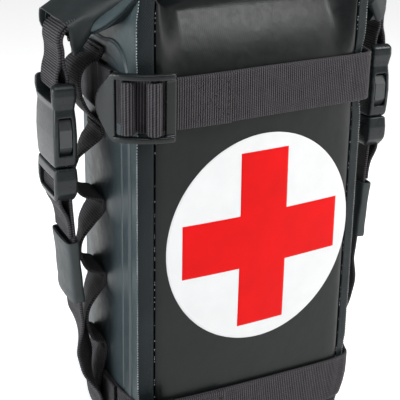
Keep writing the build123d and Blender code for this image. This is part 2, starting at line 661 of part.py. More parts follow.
    with BuildPart() as anchor:
        with BuildSketch(ep):
            for zl in (4.0, 7.6):
                with Locations((-22.4 + WEB_T / 2 + 0.28, zl)):
                    Rectangle(0.4, 1.8)
        extrude(amount=11.0, both=True)
    save(anchor, tag + "_strap_anchor_stitch")

    print(tag, "prong hinges", [tuple(fp.from_local_coords((f * s * 10.3, 171.6, 0))) for f in (-1, 1)])
    print(tag, "out", (round(s * CS, 5), round(-s * SN, 5), 0), "keeper down", (ep.x_dir * RUN[0] + Vector(0, 0, RUN[1])))
print("B1", B1, "B2", B2)
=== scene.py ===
import bpy, math
import numpy as np
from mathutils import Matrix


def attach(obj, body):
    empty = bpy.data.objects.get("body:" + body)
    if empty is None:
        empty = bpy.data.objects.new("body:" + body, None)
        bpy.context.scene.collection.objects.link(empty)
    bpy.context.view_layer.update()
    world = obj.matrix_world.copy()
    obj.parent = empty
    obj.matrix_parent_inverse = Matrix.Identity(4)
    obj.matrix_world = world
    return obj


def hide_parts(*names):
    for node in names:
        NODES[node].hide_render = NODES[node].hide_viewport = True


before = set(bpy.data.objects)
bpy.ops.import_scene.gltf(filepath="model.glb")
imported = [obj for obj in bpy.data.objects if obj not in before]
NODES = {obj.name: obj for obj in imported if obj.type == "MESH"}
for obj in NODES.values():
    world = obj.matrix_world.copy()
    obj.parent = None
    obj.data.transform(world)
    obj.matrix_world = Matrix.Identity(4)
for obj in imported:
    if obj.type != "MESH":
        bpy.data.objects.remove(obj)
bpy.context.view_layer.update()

# ---------------------------------------------------------------- sizes, in millimetres, as in the CAD model
K = math.tan(math.radians(8.0))
CS, SN = math.cos(math.radians(8.0)), math.sin(math.radians(8.0))
YF, YR, HW = -45.5, 45.5, 69.0
SEAM, R_OUT, R_SEAM, Z_SEAM = 60.0, 35.0, 26.0, 9.6
SIDE_B, FRONT_B, REAR_B = 2.5, 1.9, 2.5
TOP = 240.0
WEB_W, WEB_T = 25.4, 1.6
TOP_Z, LOW_Z, LOW_TILT = 206.3, 32.5, math.radians(2.2)
BADGE = (1.54 + K * YF, 128.0)


# ---------------------------------------------------------------- small helpers
def smooth(a, b, x):
    t = np.clip((np.asarray(x, float) - a) / (b - a), 0, 1)
    return t * t * (3 - 2 * t)


def wob(x, y, scale, seed, n=9):
    """Smooth, repeatable unevenness between about -1 and 1, over scale mm."""
    r = np.random.RandomState(seed)
    out = 0
    for _ in range(n):
        a, f, p = r.uniform(0, 2 * math.pi), r.uniform(0.6, 1.7) / scale, r.uniform(0, 2 * math.pi)
        out = out + np.sin((np.cos(a) * x + np.sin(a) * y) * f * 2 * math.pi + p)
    return out / n * 1.6


def side_u(y, off=0.0):
    return HW + SIDE_B * (1 - (np.asarray(y, float) / YR) ** 2) + off


def half_w(z, hw=HW, r=R_OUT, z0=0.0):
    """Half width of the front outline at height z: the lower corners are round."""
    z = np.asarray(z, float)
    d = np.clip(z0 + r - z, 0, r)
    return hw - r + np.sqrt(np.maximum(r * r - d * d, 0))


def shear(u, y, z):
    return np.stack(np.broadcast_arrays(u + K * y, y, z), -1).astype(float)


def squeeze(P):
    """The straps pull the front corners in a little."""
    P = P.copy()
    u = P[..., 0] - K * P[..., 1]
    y, z = P[..., 1], P[..., 2]
    r2 = (u - HW) ** 2 + (y - YF) ** 2
    a = np.exp(-r2 / 95.0) * (1 - smooth(244, 256, z)) * (0.75 + 0.25 * smooth(20, 60, z))
    P[..., 0] -= 3.4 * a
    P[..., 1] += 2.6 * a
    P[..., 0] -= 1.3 * np.exp(-((u + HW) ** 2 + (y - YF) ** 2) / 60.0) * (1 - smooth(244, 256, z)) * smooth(20, 60, z)
    for zc in (TOP_Z, LOW_Z):
        w = 1 - smooth(9, 24, np.abs(z - zc))
        for s in (-1, 1):
            r2 = (u - s * HW) ** 2 + (y - YF) ** 2
            a = 1.9 * np.exp(-r2 / 60.0) * w
            P[..., 0] -= s * a * 0.7
            P[..., 1] += a * 0.75
    return P


def mesh(name, verts, faces, mat=None, attrs=None, flat=False):
    me = bpy.data.meshes.new(name)
    me.from_pydata((np.asarray(verts, float) * 0.001).tolist(), [], [tuple(int(i) for i in f) for f in faces])
    me.validate()
    ob = bpy.data.objects.new(name, me)
    bpy.context.scene.collection.objects.link(ob)
    if not flat:
        me.polygons.foreach_set("use_smooth", [True] * len(me.polygons))
    for k, v in (attrs or {}).items():
        at = me.attributes.new(k, "FLOAT", "POINT")
        at.data.foreach_set("value", np.asarray(v, np.float32).ravel())
    if mat:
        me.materials.append(mat)
    return ob


def slab(name, P, t, mat=None, away=None, attrs=None, n_in=None):
    """A closed sheet t mm thick. P is its outer face, a grid of points; away(P) gives roughly outward directions."""
    du = np.gradient(P, axis=0)
    dv = np.gradient(P, axis=1)
    n = np.cross(du, dv)
    n /= np.maximum(np.linalg.norm(n, axis=-1, keepdims=True), 1e-9)
    if away is not None and np.sum(n * away) < 0:
        n = -n
        P = P[::-1]
        n = n[::-1]
        if attrs:
            attrs = {k: v[::-1] for k, v in attrs.items()}
    a, b = P.shape[:2]
    Q = P - n * t
    V = np.concatenate([P.reshape(-1, 3), Q.reshape(-1, 3)])
    i = np.arange(a * b).reshape(a, b)
    q = np.stack([i[:-1, :-1], i[1:, :-1], i[1:, 1:], i[:-1, 1:]], -1).reshape(-1, 4)
    N = a * b
    F = [q, q[:, ::-1] + N]
    rim = np.concatenate([i[:, 0], i[-1, 1:], i[-2::-1, -1], i[0, -2:0:-1]])
    nxt = np.roll(rim, -1)
    F.append(np.stack([nxt, rim, rim + N, nxt + N], -1))
    F = np.concatenate(F)
    A = {k: np.concatenate([v.ravel(), v.ravel()]) for k, v in (attrs or {}).items()}
    ob = mesh(name, V, F, mat, A)
    fix(ob)
    return ob


def fix(ob):
    """Faces point outward, and sharp rims shade sharp."""
    import bmesh
    bm = bmesh.new()
    bm.from_mesh(ob.data)
    bmesh.ops.remove_doubles(bm, verts=bm.verts, dist=1e-7)
    bmesh.ops.recalc_face_normals(bm, faces=bm.faces)
    for e in bm.edges:
        e.smooth = not (len(e.link_faces) == 2 and e.calc_face_angle(0) > math.radians(50))
    bm.to_mesh(ob.data)
    bm.free()


def resample(pts, step):
    """Smooth curve through pts (Catmull-Rom, centripetal-ish), at even steps."""
    pts = np.asarray(pts, float)
    p = np.vstack([2 * pts[0] - pts[1], pts, 2 * pts[-1] - pts[-2]])
    out = []
    for k in range(1, len(p) - 2):
        p0, p1, p2, p3 = p[k - 1:k + 3]
        t = np.linspace(0, 1, 40, endpoint=False)[:, None]
        out.append(0.5 * (2 * p1 + (p2 - p0) * t + (2 * p0 - 5 * p1 + 4 * p2 - p3) * t ** 2 + (3 * p1 - p0 - 3 * p2 + p3) * t ** 3))
    out.append(p[-2:-1])
    return even(np.vstack(out), step)


def even(c, step, closed=False):
    if closed:
        c = np.vstack([c, c[:1]])
    d = np.r_[0, np.cumsum(np.linalg.norm(np.diff(c, axis=0), axis=1))]
    n = max(3, int(round(d[-1] / step)) + 1)
    s = np.linspace(0, d[-1], n)
    o = np.stack([np.interp(s, d, c[:, k]) for k in range(c.shape[1])], 1)
    return o[:-1] if closed else o


def webbing(name, C, W, mat, width=WEB_W, thick=WEB_T, pitch=1.25, amp=0.36, closed=False, s0=0.0, cup=0.0):
    """Woven strap. C: middle line, evenly spaced. W: unit direction across the strap at each point (or one for all)."""
    n = len(C)
    W = np.broadcast_to(np.asarray(W, float), C.shape)
    T = (np.roll(C, -1, 0) - np.roll(C, 1, 0)) if closed else np.gradient(C, axis=0)
    T = T / np.linalg.norm(T, axis=1, keepdims=True)
    N = np.cross(W, T)
    N /= np.linalg.norm(N, axis=1, keepdims=True)
    Wd = np.cross(T, N)
    s = np.r_[0, np.cumsum(np.linalg.norm(np.diff(C, axis=0), axis=1))] + s0
    h, e = width / 2, thick / 2
    # half section, from one edge to the other over the top: across position, height, how much the ribs show
    sec = [(-h, 0.0, 0), (-h + 0.1, 0.62 * e, 0), (-h + 0.5, 1.02 * e, 0.2), (-h + 1.5, 1.0 * e, 0.6), (-h + 2.1, 0.86 * e, 1),
           (-h * 0.5, 0.9 * e, 1), (0, 0.9 * e, 1), (h * 0.5, 0.9 * e, 1), (h - 2.1, 0.86 * e, 1), (h - 1.5, 1.0 * e, 0.6),
           (h - 0.5, 1.02 * e, 0.2), (h - 0.1, 0.62 * e, 0)]
    low = [(-a, -b, c) for a, b, c in sec]
    sec = sec + low
    m_ = len(sec)
    A = np.array([q[0] for q in sec]); B = np.array([q[1] for q in sec]); G = np.array([q[2] for q in sec])
    ph = s / pitch * 2 * math.pi
    rib = amp * (np.abs(np.sin(ph / 2)) ** 0.8 - 0.55)
    H = B[None, :] + np.sign(B)[None, :] * G[None, :] * rib[:, None] + cup * (A[None, :] / h) ** 2
    A2 = np.broadcast_to(A, H.shape)
    V = C[:, None, :] + Wd[:, None, :] * A2[..., None] + N[:, None, :] * H[..., None]
    idx = np.arange(n * m_).reshape(n, m_)
    nx = np.roll(idx, -1, 0) if closed else idx[1:]
    cu = idx if closed else idx[:-1]
    q = np.stack([cu, np.roll(cu, -1, 1), np.roll(nx, -1, 1), nx], -1).reshape(-1, 4)
    faces = [tuple(f) for f in q]
    if not closed:
        faces.append(tuple(idx[0][::-1]))
        faces.append(tuple(idx[-1]))
    along = np.repeat(s, m_)
    across = np.tile(A, n)
    ob = mesh(name, V.reshape(-1, 3), faces, mat, {"along": along, "across": across})
    fix(ob)
    return ob


def tube(name, C, r, mat, sides=8, closed=False, attrs=True):
    """Round cord through C; r may vary along it."""
    n = len(C)
    r = np.broadcast_to(np.asarray(r, float), (n,))
    T = (np.roll(C, -1, 0) - np.roll(C, 1, 0)) if closed else np.gradient(C, axis=0)
    T /= np.linalg.norm(T, axis=1, keepdims=True)
    ref = np.array([0.13, 0.27, 0.95])
    U = np.cross(T, ref); U /= np.linalg.norm(U, axis=1, keepdims=True)
    Vv = np.cross(T, U)
    a = np.linspace(0, 2 * math.pi, sides, endpoint=False)
    P = C[:, None] + r[:, None, None] * (np.cos(a)[None, :, None] * U[:, None] + np.sin(a)[None, :, None] * Vv[:, None])
    idx = np.arange(n * sides).reshape(n, sides)
    nx = np.roll(idx, -1, 0) if closed else idx[1:]
    cu = idx if closed else idx[:-1]
    F = [tuple(f) for f in np.stack([cu, nx, np.roll(nx, -1, 1), np.roll(cu, -1, 1)], -1).reshape(-1, 4)]
    if not closed:
        F += [tuple(idx[0]), tuple(idx[-1][::-1])]
    return P.reshape(-1, 3), F


def join_parts(name, parts, mat):
    V, F, o = [], [], 0
    for v, f in parts:
        V.append(v)
        F += [tuple(i + o for i in q) for q in f]
        o += len(v)
    ob = mesh(name, np.vstack(V), F, mat)
    fix(ob)
    return ob


# ---------------------------------------------------------------- materials
def mat_base(name, color, rough, spec=0.5):
    m = bpy.data.materials.new(name)
    m.use_nodes = True
    nt = m.node_tree
    b = nt.nodes["Principled BSDF"]
    b.inputs["Base Color"].default_value = (*color, 1)
    b.inputs["Roughness"].default_value = rough
    b.inputs["Specular IOR Level"].default_value = spec
    return m, nt, b


def N(nt, kind, **kw):
    n = nt.nodes.new(kind)
    for k, v in kw.items():
        if k in n.inputs.keys() if hasattr(n.inputs, "keys") else False:
            n.inputs[k].default_value = v
        else:
            setattr(n, k, v)
    return n


def noise(nt, scale, detail=3.0, rough=0.5, vec=None):
    n = nt.nodes.new("ShaderNodeTexNoise")
    n.inputs["Scale"].default_value = scale
    n.inputs["Detail"].default_value = detail
    n.inputs["Roughness"].default_value = rough
    if vec:
        nt.links.new(vec, n.inputs["Vector"])
    return n.outputs["Fac"]


def math_(nt, op, a, b=None, c=None):
    n = nt.nodes.new("ShaderNodeMath")
    n.operation = op
    for i, v in enumerate((a, b, c)):
        if v is None:
            continue
        if isinstance(v, (int, float)):
            n.inputs[i].default_value = v
        else:
            nt.links.new(v, n.inputs[i])
    return n.outputs[0]


def ramp(nt, fac, stops):
    n = nt.nodes.new("ShaderNodeValToRGB")
    cr = n.color_ramp
    while len(cr.elements) < len(stops):
        cr.elements.new(0.5)
    for e, (p, c) in zip(cr.elements, stops):
        e.position = p
        e.color = (*c, 1) if len(c) == 3 else c
    nt.links.new(fac, n.inputs[0])
    return n.outputs["Color"]


def bump(nt, b, height, strength, dist, prev=None):
    n = nt.nodes.new("ShaderNodeBump")
    n.inputs["Strength"].default_value = strength
    n.inputs["Distance"].default_value = dist
    nt.links.new(height, n.inputs["Height"])
    if prev:
        nt.links.new(prev, n.inputs["Normal"])
    nt.links.new(n.outputs["Normal"], b.inputs["Normal"])
    return n.outputs["Normal"]


def coords(nt):
    t = nt.nodes.new("ShaderNodeTexCoord")
    return t.outputs["Object"]


def xyz(nt, vec):
    s = nt.nodes.new("ShaderNodeSeparateXYZ")
    nt.links.new(vec, s.inputs[0])
    return s.outputs[0], s.outputs[1], s.outputs[2]


def attr(nt, name):
    a = nt.nodes.new("ShaderNodeAttribute")
    a.attribute_name = name
    return a.outputs["Fac"]


# pointiness: the mask for the painted highlight on sharp edges
def edge_highlight_pointiness(nt):
    g = nt.nodes.new("ShaderNodeNewGeometry")
    return g.outputs["Pointiness"]


def coated(name, lo, hi, rough=(0.36, 0.5), weave=0.12, scale=1.0, spec=0.3):
    """Vinyl-coated cloth: the base cloth's weave shows faintly through a satin skin."""
    m, nt, b = mat_base(name, lo, rough[0], spec)
    co = coords(nt)
    x, y, z = xyz(nt, co)
    big = noise(nt, 28.0, 3.0, 0.55, co)
    fine = noise(nt, 1500.0, 2.0, 0.6, co)
    mid_ = noise(nt, 260.0, 4.0, 0.6, co)
    mix = math_(nt, "ADD", math_(nt, "MULTIPLY", big, 0.62), math_(nt, "MULTIPLY", mid_, 0.38))
    nt.links.new(ramp(nt, mix, [(0.32, lo), (0.68, hi)]), b.inputs["Base Color"])
    r = nt.nodes.new("ShaderNodeMapRange")
    r.inputs["From Min"].default_value = 0.35
    r.inputs["From Max"].default_value = 0.65
    r.inputs["To Min"].default_value = rough[0]
    r.inputs["To Max"].default_value = rough[1]
    nt.links.new(mid_, r.inputs["Value"])
    nt.links.new(r.outputs[0], b.inputs["Roughness"])
    # weave of the base cloth: about 9 threads a centimetre
    d = math_(nt, "ADD", x, math_(nt, "MULTIPLY", y, 0.94))
    wx = math_(nt, "SINE", math_(nt, "MULTIPLY", d, 2 * math.pi * 900 * scale))
    wz = math_(nt, "SINE", math_(nt, "MULTIPLY", z, 2 * math.pi * 900 * scale))
    w = math_(nt, "MULTIPLY", wx, wz)
    hgt = math_(nt, "ADD", math_(nt, "MULTIPLY", w, 0.5), math_(nt, "MULTIPLY", fine, 1.4))
    n1 = bump(nt, b, hgt, weave, 0.0002)
    soft = noise(nt, 90.0, 2.0, 0.5, co)
    n = nt.nodes.new("ShaderNodeBump")
    n.inputs["Strength"].default_value = 0.25
    n.inputs["Distance"].default_value = 0.0012
    nt.links.new(soft, n.inputs["Height"])
    nt.links.new(n1, n.inputs["Normal"])
    nt.links.new(n.outputs["Normal"], b.inputs["Normal"])
    return m


def web_mat(name, valley_shade_col, light):
    """Nylon webbing: fine warp threads along it, with ribs across; the rib crowns painted paler as a painted highlight,
    the valleys between them painted near-black as painted shade.
    """
    m, nt, b = mat_base(name, valley_shade_col, 0.62, 0.16)
    co = coords(nt)
    al = attr(nt, "along")
    ac = attr(nt, "across")
    rib = math_(nt, "ABSOLUTE", math_(nt, "SINE", math_(nt, "MULTIPLY", al, math.pi / 1.25)))
    warp = math_(nt, "SINE", math_(nt, "MULTIPLY", ac, 2 * math.pi / 0.62))
    sh = math_(nt, "SINE", math_(nt, "ADD", math_(nt, "MULTIPLY", ac, 2 * math.pi / 1.24), math_(nt, "MULTIPLY", al, math.pi / 1.25)))
    n1 = noise(nt, 1900.0, 2.0, 0.7, co)
    n2 = noise(nt, 160.0, 3.0, 0.6, co)
    # rib crowns lighter and valleys darker: painted highlight and painted shade along the ribs, plus random tone from
    # the noise
    f = math_(nt, "ADD", math_(nt, "MULTIPLY", math_(nt, "POWER", rib, 2.6), 0.66), math_(nt, "ADD", math_(nt, "MULTIPLY", n1, 0.3), math_(nt, "MULTIPLY", n2, 0.25)))
    f = math_(nt, "ADD", f, math_(nt, "MULTIPLY", sh, 0.07))
    nt.links.new(ramp(nt, f, [(0.28, valley_shade_col), (0.62, tuple(0.5 * (a + c) for a, c in zip(valley_shade_col, light))), (0.95, light)]), b.inputs["Base Color"])
    h = math_(nt, "ADD", math_(nt, "MULTIPLY", warp, 0.35), math_(nt, "ADD", math_(nt, "MULTIPLY", sh, 0.35), math_(nt, "MULTIPLY", n1, 0.8)))
    bump(nt, b, h, 0.6, 0.00018)
    b.inputs["Sheen Weight"].default_value = 0.04
    b.inputs["Sheen Roughness"].default_value = 0.5
    return m


def plastic(name, col, light, rough=0.42):
    """Acetal buckle: fine spark texture; sharp edges painted paler as a painted highlight on the rims."""
    m, nt, b = mat_base(name, col, rough, 0.5)
    co = coords(nt)
    pt = edge_highlight_pointiness(nt)
    # convex edges (high pointiness) lightened: painted highlight on the rims
    w = nt.nodes.new("ShaderNodeMapRange")
    w.inputs["From Min"].default_value = 0.51
    w.inputs["From Max"].default_value = 0.58
    nt.links.new(pt, w.inputs["Value"])
    n1 = noise(nt, 2200.0, 2.0, 0.6, co)
    n2 = noise(nt, 120.0, 4.0, 0.6, co)
    f = math_(nt, "ADD", math_(nt, "MULTIPLY", w.outputs[0], math_(nt, "ADD", 0.25, math_(nt, "MULTIPLY", n2, 0.5))), math_(nt, "MULTIPLY", n2, 0.35))
    nt.links.new(ramp(nt, f, [(0.1, col), (0.75, light)]), b.inputs["Base Color"])
    r = nt.nodes.new("ShaderNodeMapRange")
    r.inputs["To Min"].default_value = rough - 0.08
    r.inputs["To Max"].default_value = rough + 0.1
    nt.links.new(n2, r.inputs["Value"])
    nt.links.new(r.outputs[0], b.inputs["Roughness"])
    bump(nt, b, n1, 0.18, 0.0001)
    return m


def film(name, lo, hi, rough, spec=0.35):
    """Printed film with a slight satin mottle."""
    m, nt, b = mat_base(name, lo, rough, spec)
    co = coords(nt)
    n2 = noise(nt, 70.0, 4.0, 0.55, co)
    nt.links.new(ramp(nt, n2, [(0.3, lo), (0.7, hi)]), b.inputs["Base Color"])
    n1 = noise(nt, 1300.0, 2.0, 0.6, co)
    r = nt.nodes.new("ShaderNodeMapRange")
    r.inputs["To Min"].default_value = rough - 0.06
    r.inputs["To Max"].default_value = rough + 0.08
    nt.links.new(n2, r.inputs["Value"])
    nt.links.new(r.outputs[0], b.inputs["Roughness"])
    bump(nt, b, n1, 0.08, 0.0001)
    return m


M_FRONT = coated("coated_front", (0.0045, 0.0056, 0.0058), (0.008, 0.0094, 0.0096), (0.3, 0.38), spec=0.2)
M_SIDE = coated("coated_side", (0.026, 0.040, 0.0435), (0.041, 0.0585, 0.063), (0.38, 0.48), 0.16, spec=0.42)
M_PATCH = coated("coated_patch", (0.022, 0.032, 0.036), (0.034, 0.047, 0.052), (0.36, 0.46), 0.14, spec=0.42)
M_TAPE = coated("seam_tape", (0.0045, 0.0075, 0.0088), (0.0105, 0.0155, 0.0175), (0.46, 0.6), 0.5, 0.75, spec=0.14)
M_ROLL = coated("coated_roll", (0.011, 0.0145, 0.0155), (0.017, 0.022, 0.0232), (0.33, 0.43), 0.14, spec=0.3)
# webbing colours: near-black painted shade for the rib valleys, paler painted highlight for the rib crowns
M_WEB = web_mat("webbing", (0.0008, 0.0007, 0.0008), (0.066, 0.0598, 0.067))
M_PLAS = plastic("buckle_plastic", (0.009, 0.0118, 0.0125), (0.034, 0.041, 0.043), 0.27)
M_PLAS.node_tree.nodes["Principled BSDF"].inputs["Specular IOR Level"].default_value = 0.28
# ladder-lock: a darker copy of the buckle plastic; its darker base is painted shade for the lock's dimmer faces
M_LOCK_SHADED = plastic("lock_plastic_painted_shade", (0.004, 0.0055, 0.0058), (0.018, 0.0215, 0.0225), 0.24)
M_LOCK_SHADED.node_tree.nodes["Principled BSDF"].inputs["Specular IOR Level"].default_value = 0.3
M_PRONG = plastic("prong_plastic", (0.012, 0.014, 0.015), (0.04, 0.045, 0.046), 0.32)
M_WHITE = film("white_film", (0.6, 0.61, 0.614), (0.645, 0.65, 0.654), 0.42)
M_RED = film("red_film", (0.55, 0.0008, 0.001), (0.62, 0.0016, 0.002), 0.5, 0.1)
M_THREAD = plastic("thread", (0.002, 0.0018, 0.002), (0.012, 0.011, 0.012), 0.7)
# pale grey tufts: partly raw thread ends, partly painted highlight along the corner and seam edges
M_EDGE_TUFTS_AND_HIGHLIGHT = film("raw_edge_and_highlight", (0.14, 0.16, 0.165), (0.4, 0.42, 0.43), 0.7)
M_KEEP = coated("keeper_sleeve", (0.02, 0.026, 0.027), (0.032, 0.04, 0.042), (0.42, 0.52), 0.12)
M_STIFF = plastic("stiffener", (0.03, 0.03, 0.03), (0.1, 0.1, 0.1), 0.5)

# ---------------------------------------------------------------- the roll's middle line
RR = (98.0 ** 2 + 26.0 ** 2) / (2 * 26.0)


def roll_c(x):
    x = np.asarray(x, float)
    return 264.0 - (RR - np.sqrt(RR * RR - x * x))


def roll_h(x):
    return 7.3 - 1.9 * (np.asarray(x, float) / 98.0) ** 2


TILT = math.radians(13.0)


def lean(u):
    """How far the front's top leans back, as a slope; the corners stay upright."""
    return 0.72 * (1 - smooth(43, 61, np.abs(u)))


def shoulder(u, y, z, side, t, lean_=0.0):
    """From the top of a wall, over the shoulder and in to the neck under the roll. side: 0 on front and back, 1 at mid-side."""
    sg = np.sign(u)
    sy = np.where(np.abs(y) > 1e-6, np.sign(y), 1.0)
    k = 1 - (np.clip(np.abs(y), 0, 45.5) / 45.5) ** 2
    nxf = 1.26 * u
    nxs = sg * (1.26 * HW + 5.5 * k)
    nx = np.where(side > 0, nxs, nxf)
    ny = np.where(side > 0, 2.6 * y / 45.5, 2.6 * sy)
    nz = roll_c(nx) - roll_h(nx) * 0.92 + ny * math.tan(TILT)
    P0 = shear(u, y, z)
    kk = np.where(side > 0, k, 0.0)
    cn = smooth(30, 66, np.abs(u)) * (1 - kk)
    L0 = 8.0 - 2.5 * kk - 3.0 * cn
    ln = np.asarray(lean_) / 0.72
    P1 = P0 + np.stack([sg * 1.2 * kk, -sy * lean_ * L0 + 0 * L0, L0], -1)
    P3 = np.stack([nx, ny, nz], -1)
    d = np.stack([-sg * (2 + 9 * kk), sy * (25.0 - 6.0 * cn - 12.0 * ln) * (1 - kk), -4.6 + 5.6 * kk - 5.6 * cn + 3.4 * ln], -1)
    P2 = P3 + d
    t = np.asarray(t)[..., None]
    return (1 - t) ** 3 * P0 + 3 * (1 - t) ** 2 * t * P1 + 3 * (1 - t) * t * t * P2 + t ** 3 * P3


def side_top(y):
    """Height of the side wall's top edge, where it turns out under the roll."""
    return np.interp(y, [-45.5, -40.0, -33.5, -24.5, -12.0, -1.5, 17.5, 30.0, 38.0, 45.5], [256.0, 255.2, 252.6, 247.0, 241.5, 238.0, 234.5, 237.5, 243.0, 250.0])


def front_top(u):
    """Height at which the front starts to lean back; the corners stand higher than the middle."""
    return 246.0 + 10.0 * smooth(46, 66, np.abs(u))


def rear_top(u):
    return 240.0 + 10.0 * smooth(30, 66, np.abs(u))


# ---------------------------------------------------------------- front panel
def front_y(u, z, off=0.0):
    u = np.asarray(u, float); z = np.asarray(z, float)
    e = np.maximum(0, 1 - (u / SEAM) ** 2)
    y = YF - FRONT_B * e
    puff = np.sin(np.clip((z - 48) / (192 - 48), 0, 1) * math.pi)
    y = y - 0.9 * puff * e
    y = y + 0.16 * wob(u, z, 85, 3) * smooth(0, 0.25, e)
    y = y + lean(u) / 72.0 * np.maximum(0, z - 210.0) ** 2
    return y - off


def front_panel():
    nu, nz, ns = 97, 150, 34
    c = np.linspace(-1, 1, nu)
    u = SEAM * 0.995 * np.sign(c) * (1 - (1 - np.abs(c)) ** 1.25)
    zb = Z_SEAM + R_SEAM - np.sqrt(np.maximum(R_SEAM ** 2 - np.clip(np.abs(u) - (SEAM - R_SEAM), 0, R_SEAM) ** 2, 0))
    t = np.linspace(0, 1, nz)
    z = zb[:, None] + (front_top(u) - zb)[:, None] * t[None, :]
    U = np.repeat(u[:, None], nz, 1)
    y = front_y(U, z)
    # the edge dips into the welded seam
    d = np.minimum(SEAM - np.abs(U), 60)
    rr = R_SEAM - np.hypot(np.clip(np.abs(U) - (SEAM - R_SEAM), 0, None), np.clip(Z_SEAM + R_SEAM - z, 0, None))
    d = np.where(z < Z_SEAM + R_SEAM, np.minimum(rr, d), d)
    d = np.minimum(d, z - Z_SEAM)
    y = y + 1.25 * np.exp(-np.maximum(d, 0) / 1.2)
    P = shear(U, y, z)
    ts = np.linspace(0, 1, ns + 1)[1:]
    Us = np.repeat(u[:, None], ns, 1)
    T = np.repeat(ts[None, :], nu, 0)
    S = shoulder(Us, y[:, -1:] + 0 * Us, front_top(Us), np.zeros_like(Us), T, lean(Us))
    # pinched folds where the panel is gathered under the roll
    f = np.sin(T * math.pi) ** 1.0
    fold = 1.6 * np.exp(-((Us + 38 + 14 * T) / 7.0) ** 2) * smooth(0.1, 0.6, T) - 0.9 * np.exp(-((Us + 24 + 4 * T) / 9.0) ** 2) * smooth(0.1, 0.5, T)
    fold = fold + 1.1 * np.exp(-((Us - 30 - 8 * T) / 8.0) ** 2) * smooth(0.1, 0.7, T) + 0.5 * wob(Us, T * 40, 34, 11) * smooth(0, 0.5, T)
    S[..., 2] -= fold * f * 1.3
    S[..., 1] += fold * f * 0.7
    P = np.concatenate([P, S], 1)
    P = squeeze(P)
    return slab("front_panel_skin", P, 1.0, M_FRONT, away=np.array([0, -1, 0.1]))


# ---------------------------------------------------------------- border strip, round the front panel's edge
def u_path(step, top=TOP):
    """Front outline from the top left, down, round the foot and up to the top right: (u, z, outward u, outward z)."""
    pts = []
    n1 = int((top - R_OUT) / step)
    for z in np.linspace(top, R_OUT, n1, endpoint=False):
        pts.append((-HW, z, -1, 0))
    n2 = int(R_OUT * math.pi / 2 / step)
    for a in np.linspace(0, math.pi / 2, n2, endpoint=False):
        pts.append((-(HW - R_OUT) - R_OUT * math.cos(a), R_OUT - R_OUT * math.sin(a), -math.cos(a), -math.sin(a)))
    n3 = int(2 * (HW - R_OUT) / step)
    n3 += n3 % 2
    for u in np.linspace(-(HW - R_OUT), 0, n3 // 2 + 1):
        pts.append((u, 0, 0, -1))
    L = np.array(pts)
    R = L[::-1][1:].copy()
    R[:, 0] *= -1
    R[:, 2] *= -1
    return L, np.vstack([L, R])


def border_strip(name, s):
    L, _ = u_path(2.5, 256.0)
    sec = np.array([0.0, 0.6, 1.6, 3.2, 5.0, 6.6, 7.5, 7.95, 8.15, 8.4, 8.9, 10.4])       # inward from the corner edge
    yo = np.array([0.75, 0.12, -0.12, -0.2, -0.14, -0.05, 0.02, 0.22, 0.7, 1.9, 2.7, 2.9])
    P = []
    for u, z, ou, oz in L:
        uu = u - ou * sec
        zz = z - oz * sec
        y = YF + yo
        P.append(shear(-s * uu, y, zz))
    P = np.array(P)
    # over the shoulder
    u0 = (HW - sec) * s
    ts = np.linspace(0, 1, 30)[1:]
    top = np.array([[shoulder(np.array(u0[j]), np.array(YF + yo[j]), np.array(256.0), np.array(0.0), np.array(t)) for j in range(len(sec))] for t in ts])
    P = np.concatenate([top[::-1], P], 0)
    P = squeeze(P)
    P[..., 2] = np.maximum(P[..., 2], 0.02)
    return slab(name, P, 1.0, M_TAPE, away=np.array([0, -1, 0]))


# ---------------------------------------------------------------- side panels, bottom and back
def gusset_pt(u, z, ou, oz, y):
    crown = SIDE_B * (1 - (y / YR) ** 2) * smooth(8, 46, z) * np.abs(ou)
    crown = crown + 0.18 * wob(y, z, 60, 21 if ou < 0 else 22) * np.abs(ou)
    return shear(u + ou * crown, y, z + 0 * y)


def side_panel(name, s):
    L, _ = u_path(3.0)
    ys = np.concatenate([[YF + 0.9, YF + 1.0, YF + 1.4, YF + 2.2], np.linspace(YF + 4, 33.0, 44)])
    P = []
    for u, z, ou, oz in L:
        if abs(u) < 33.9 and z < 1:
            continue
        P.append(gusset_pt(s * abs(u), z + 0 * ys, s * abs(ou), oz, ys))
    P = np.array(P)
    # the wall top dips at mid-side, where the fabric turns out under the roll
    zt = side_top(ys)
    sc = smooth(120, TOP, P[..., 2])
    P[..., 2] -= sc * (TOP - zt)[None, :]
    ts = np.linspace(0, 1, 34)[1:]
    u0 = s * side_u(ys)
    u0 = np.where(ys < YF + 2.3, s * (HW + 0.0), u0)
    S = np.array([shoulder(P[0, :, 0] - K * ys, ys, P[0, :, 2], np.ones_like(ys), np.full_like(ys, t)) for t in ts])
    S[..., 0] += s * 0.8 * wob(ys[None, :] * np.ones_like(S[..., 0]), S[..., 2] * 1.0, 26, 31 + s) * np.sin(ts * math.pi)[:, None]
    P = np.concatenate([S[::-1], P], 0)
    P = squeeze(P)
    P[..., 2] = np.maximum(P[..., 2], 0.02)
    return slab(name, P, 1.1, M_SIDE, away=np.array([s, 0, 0]))


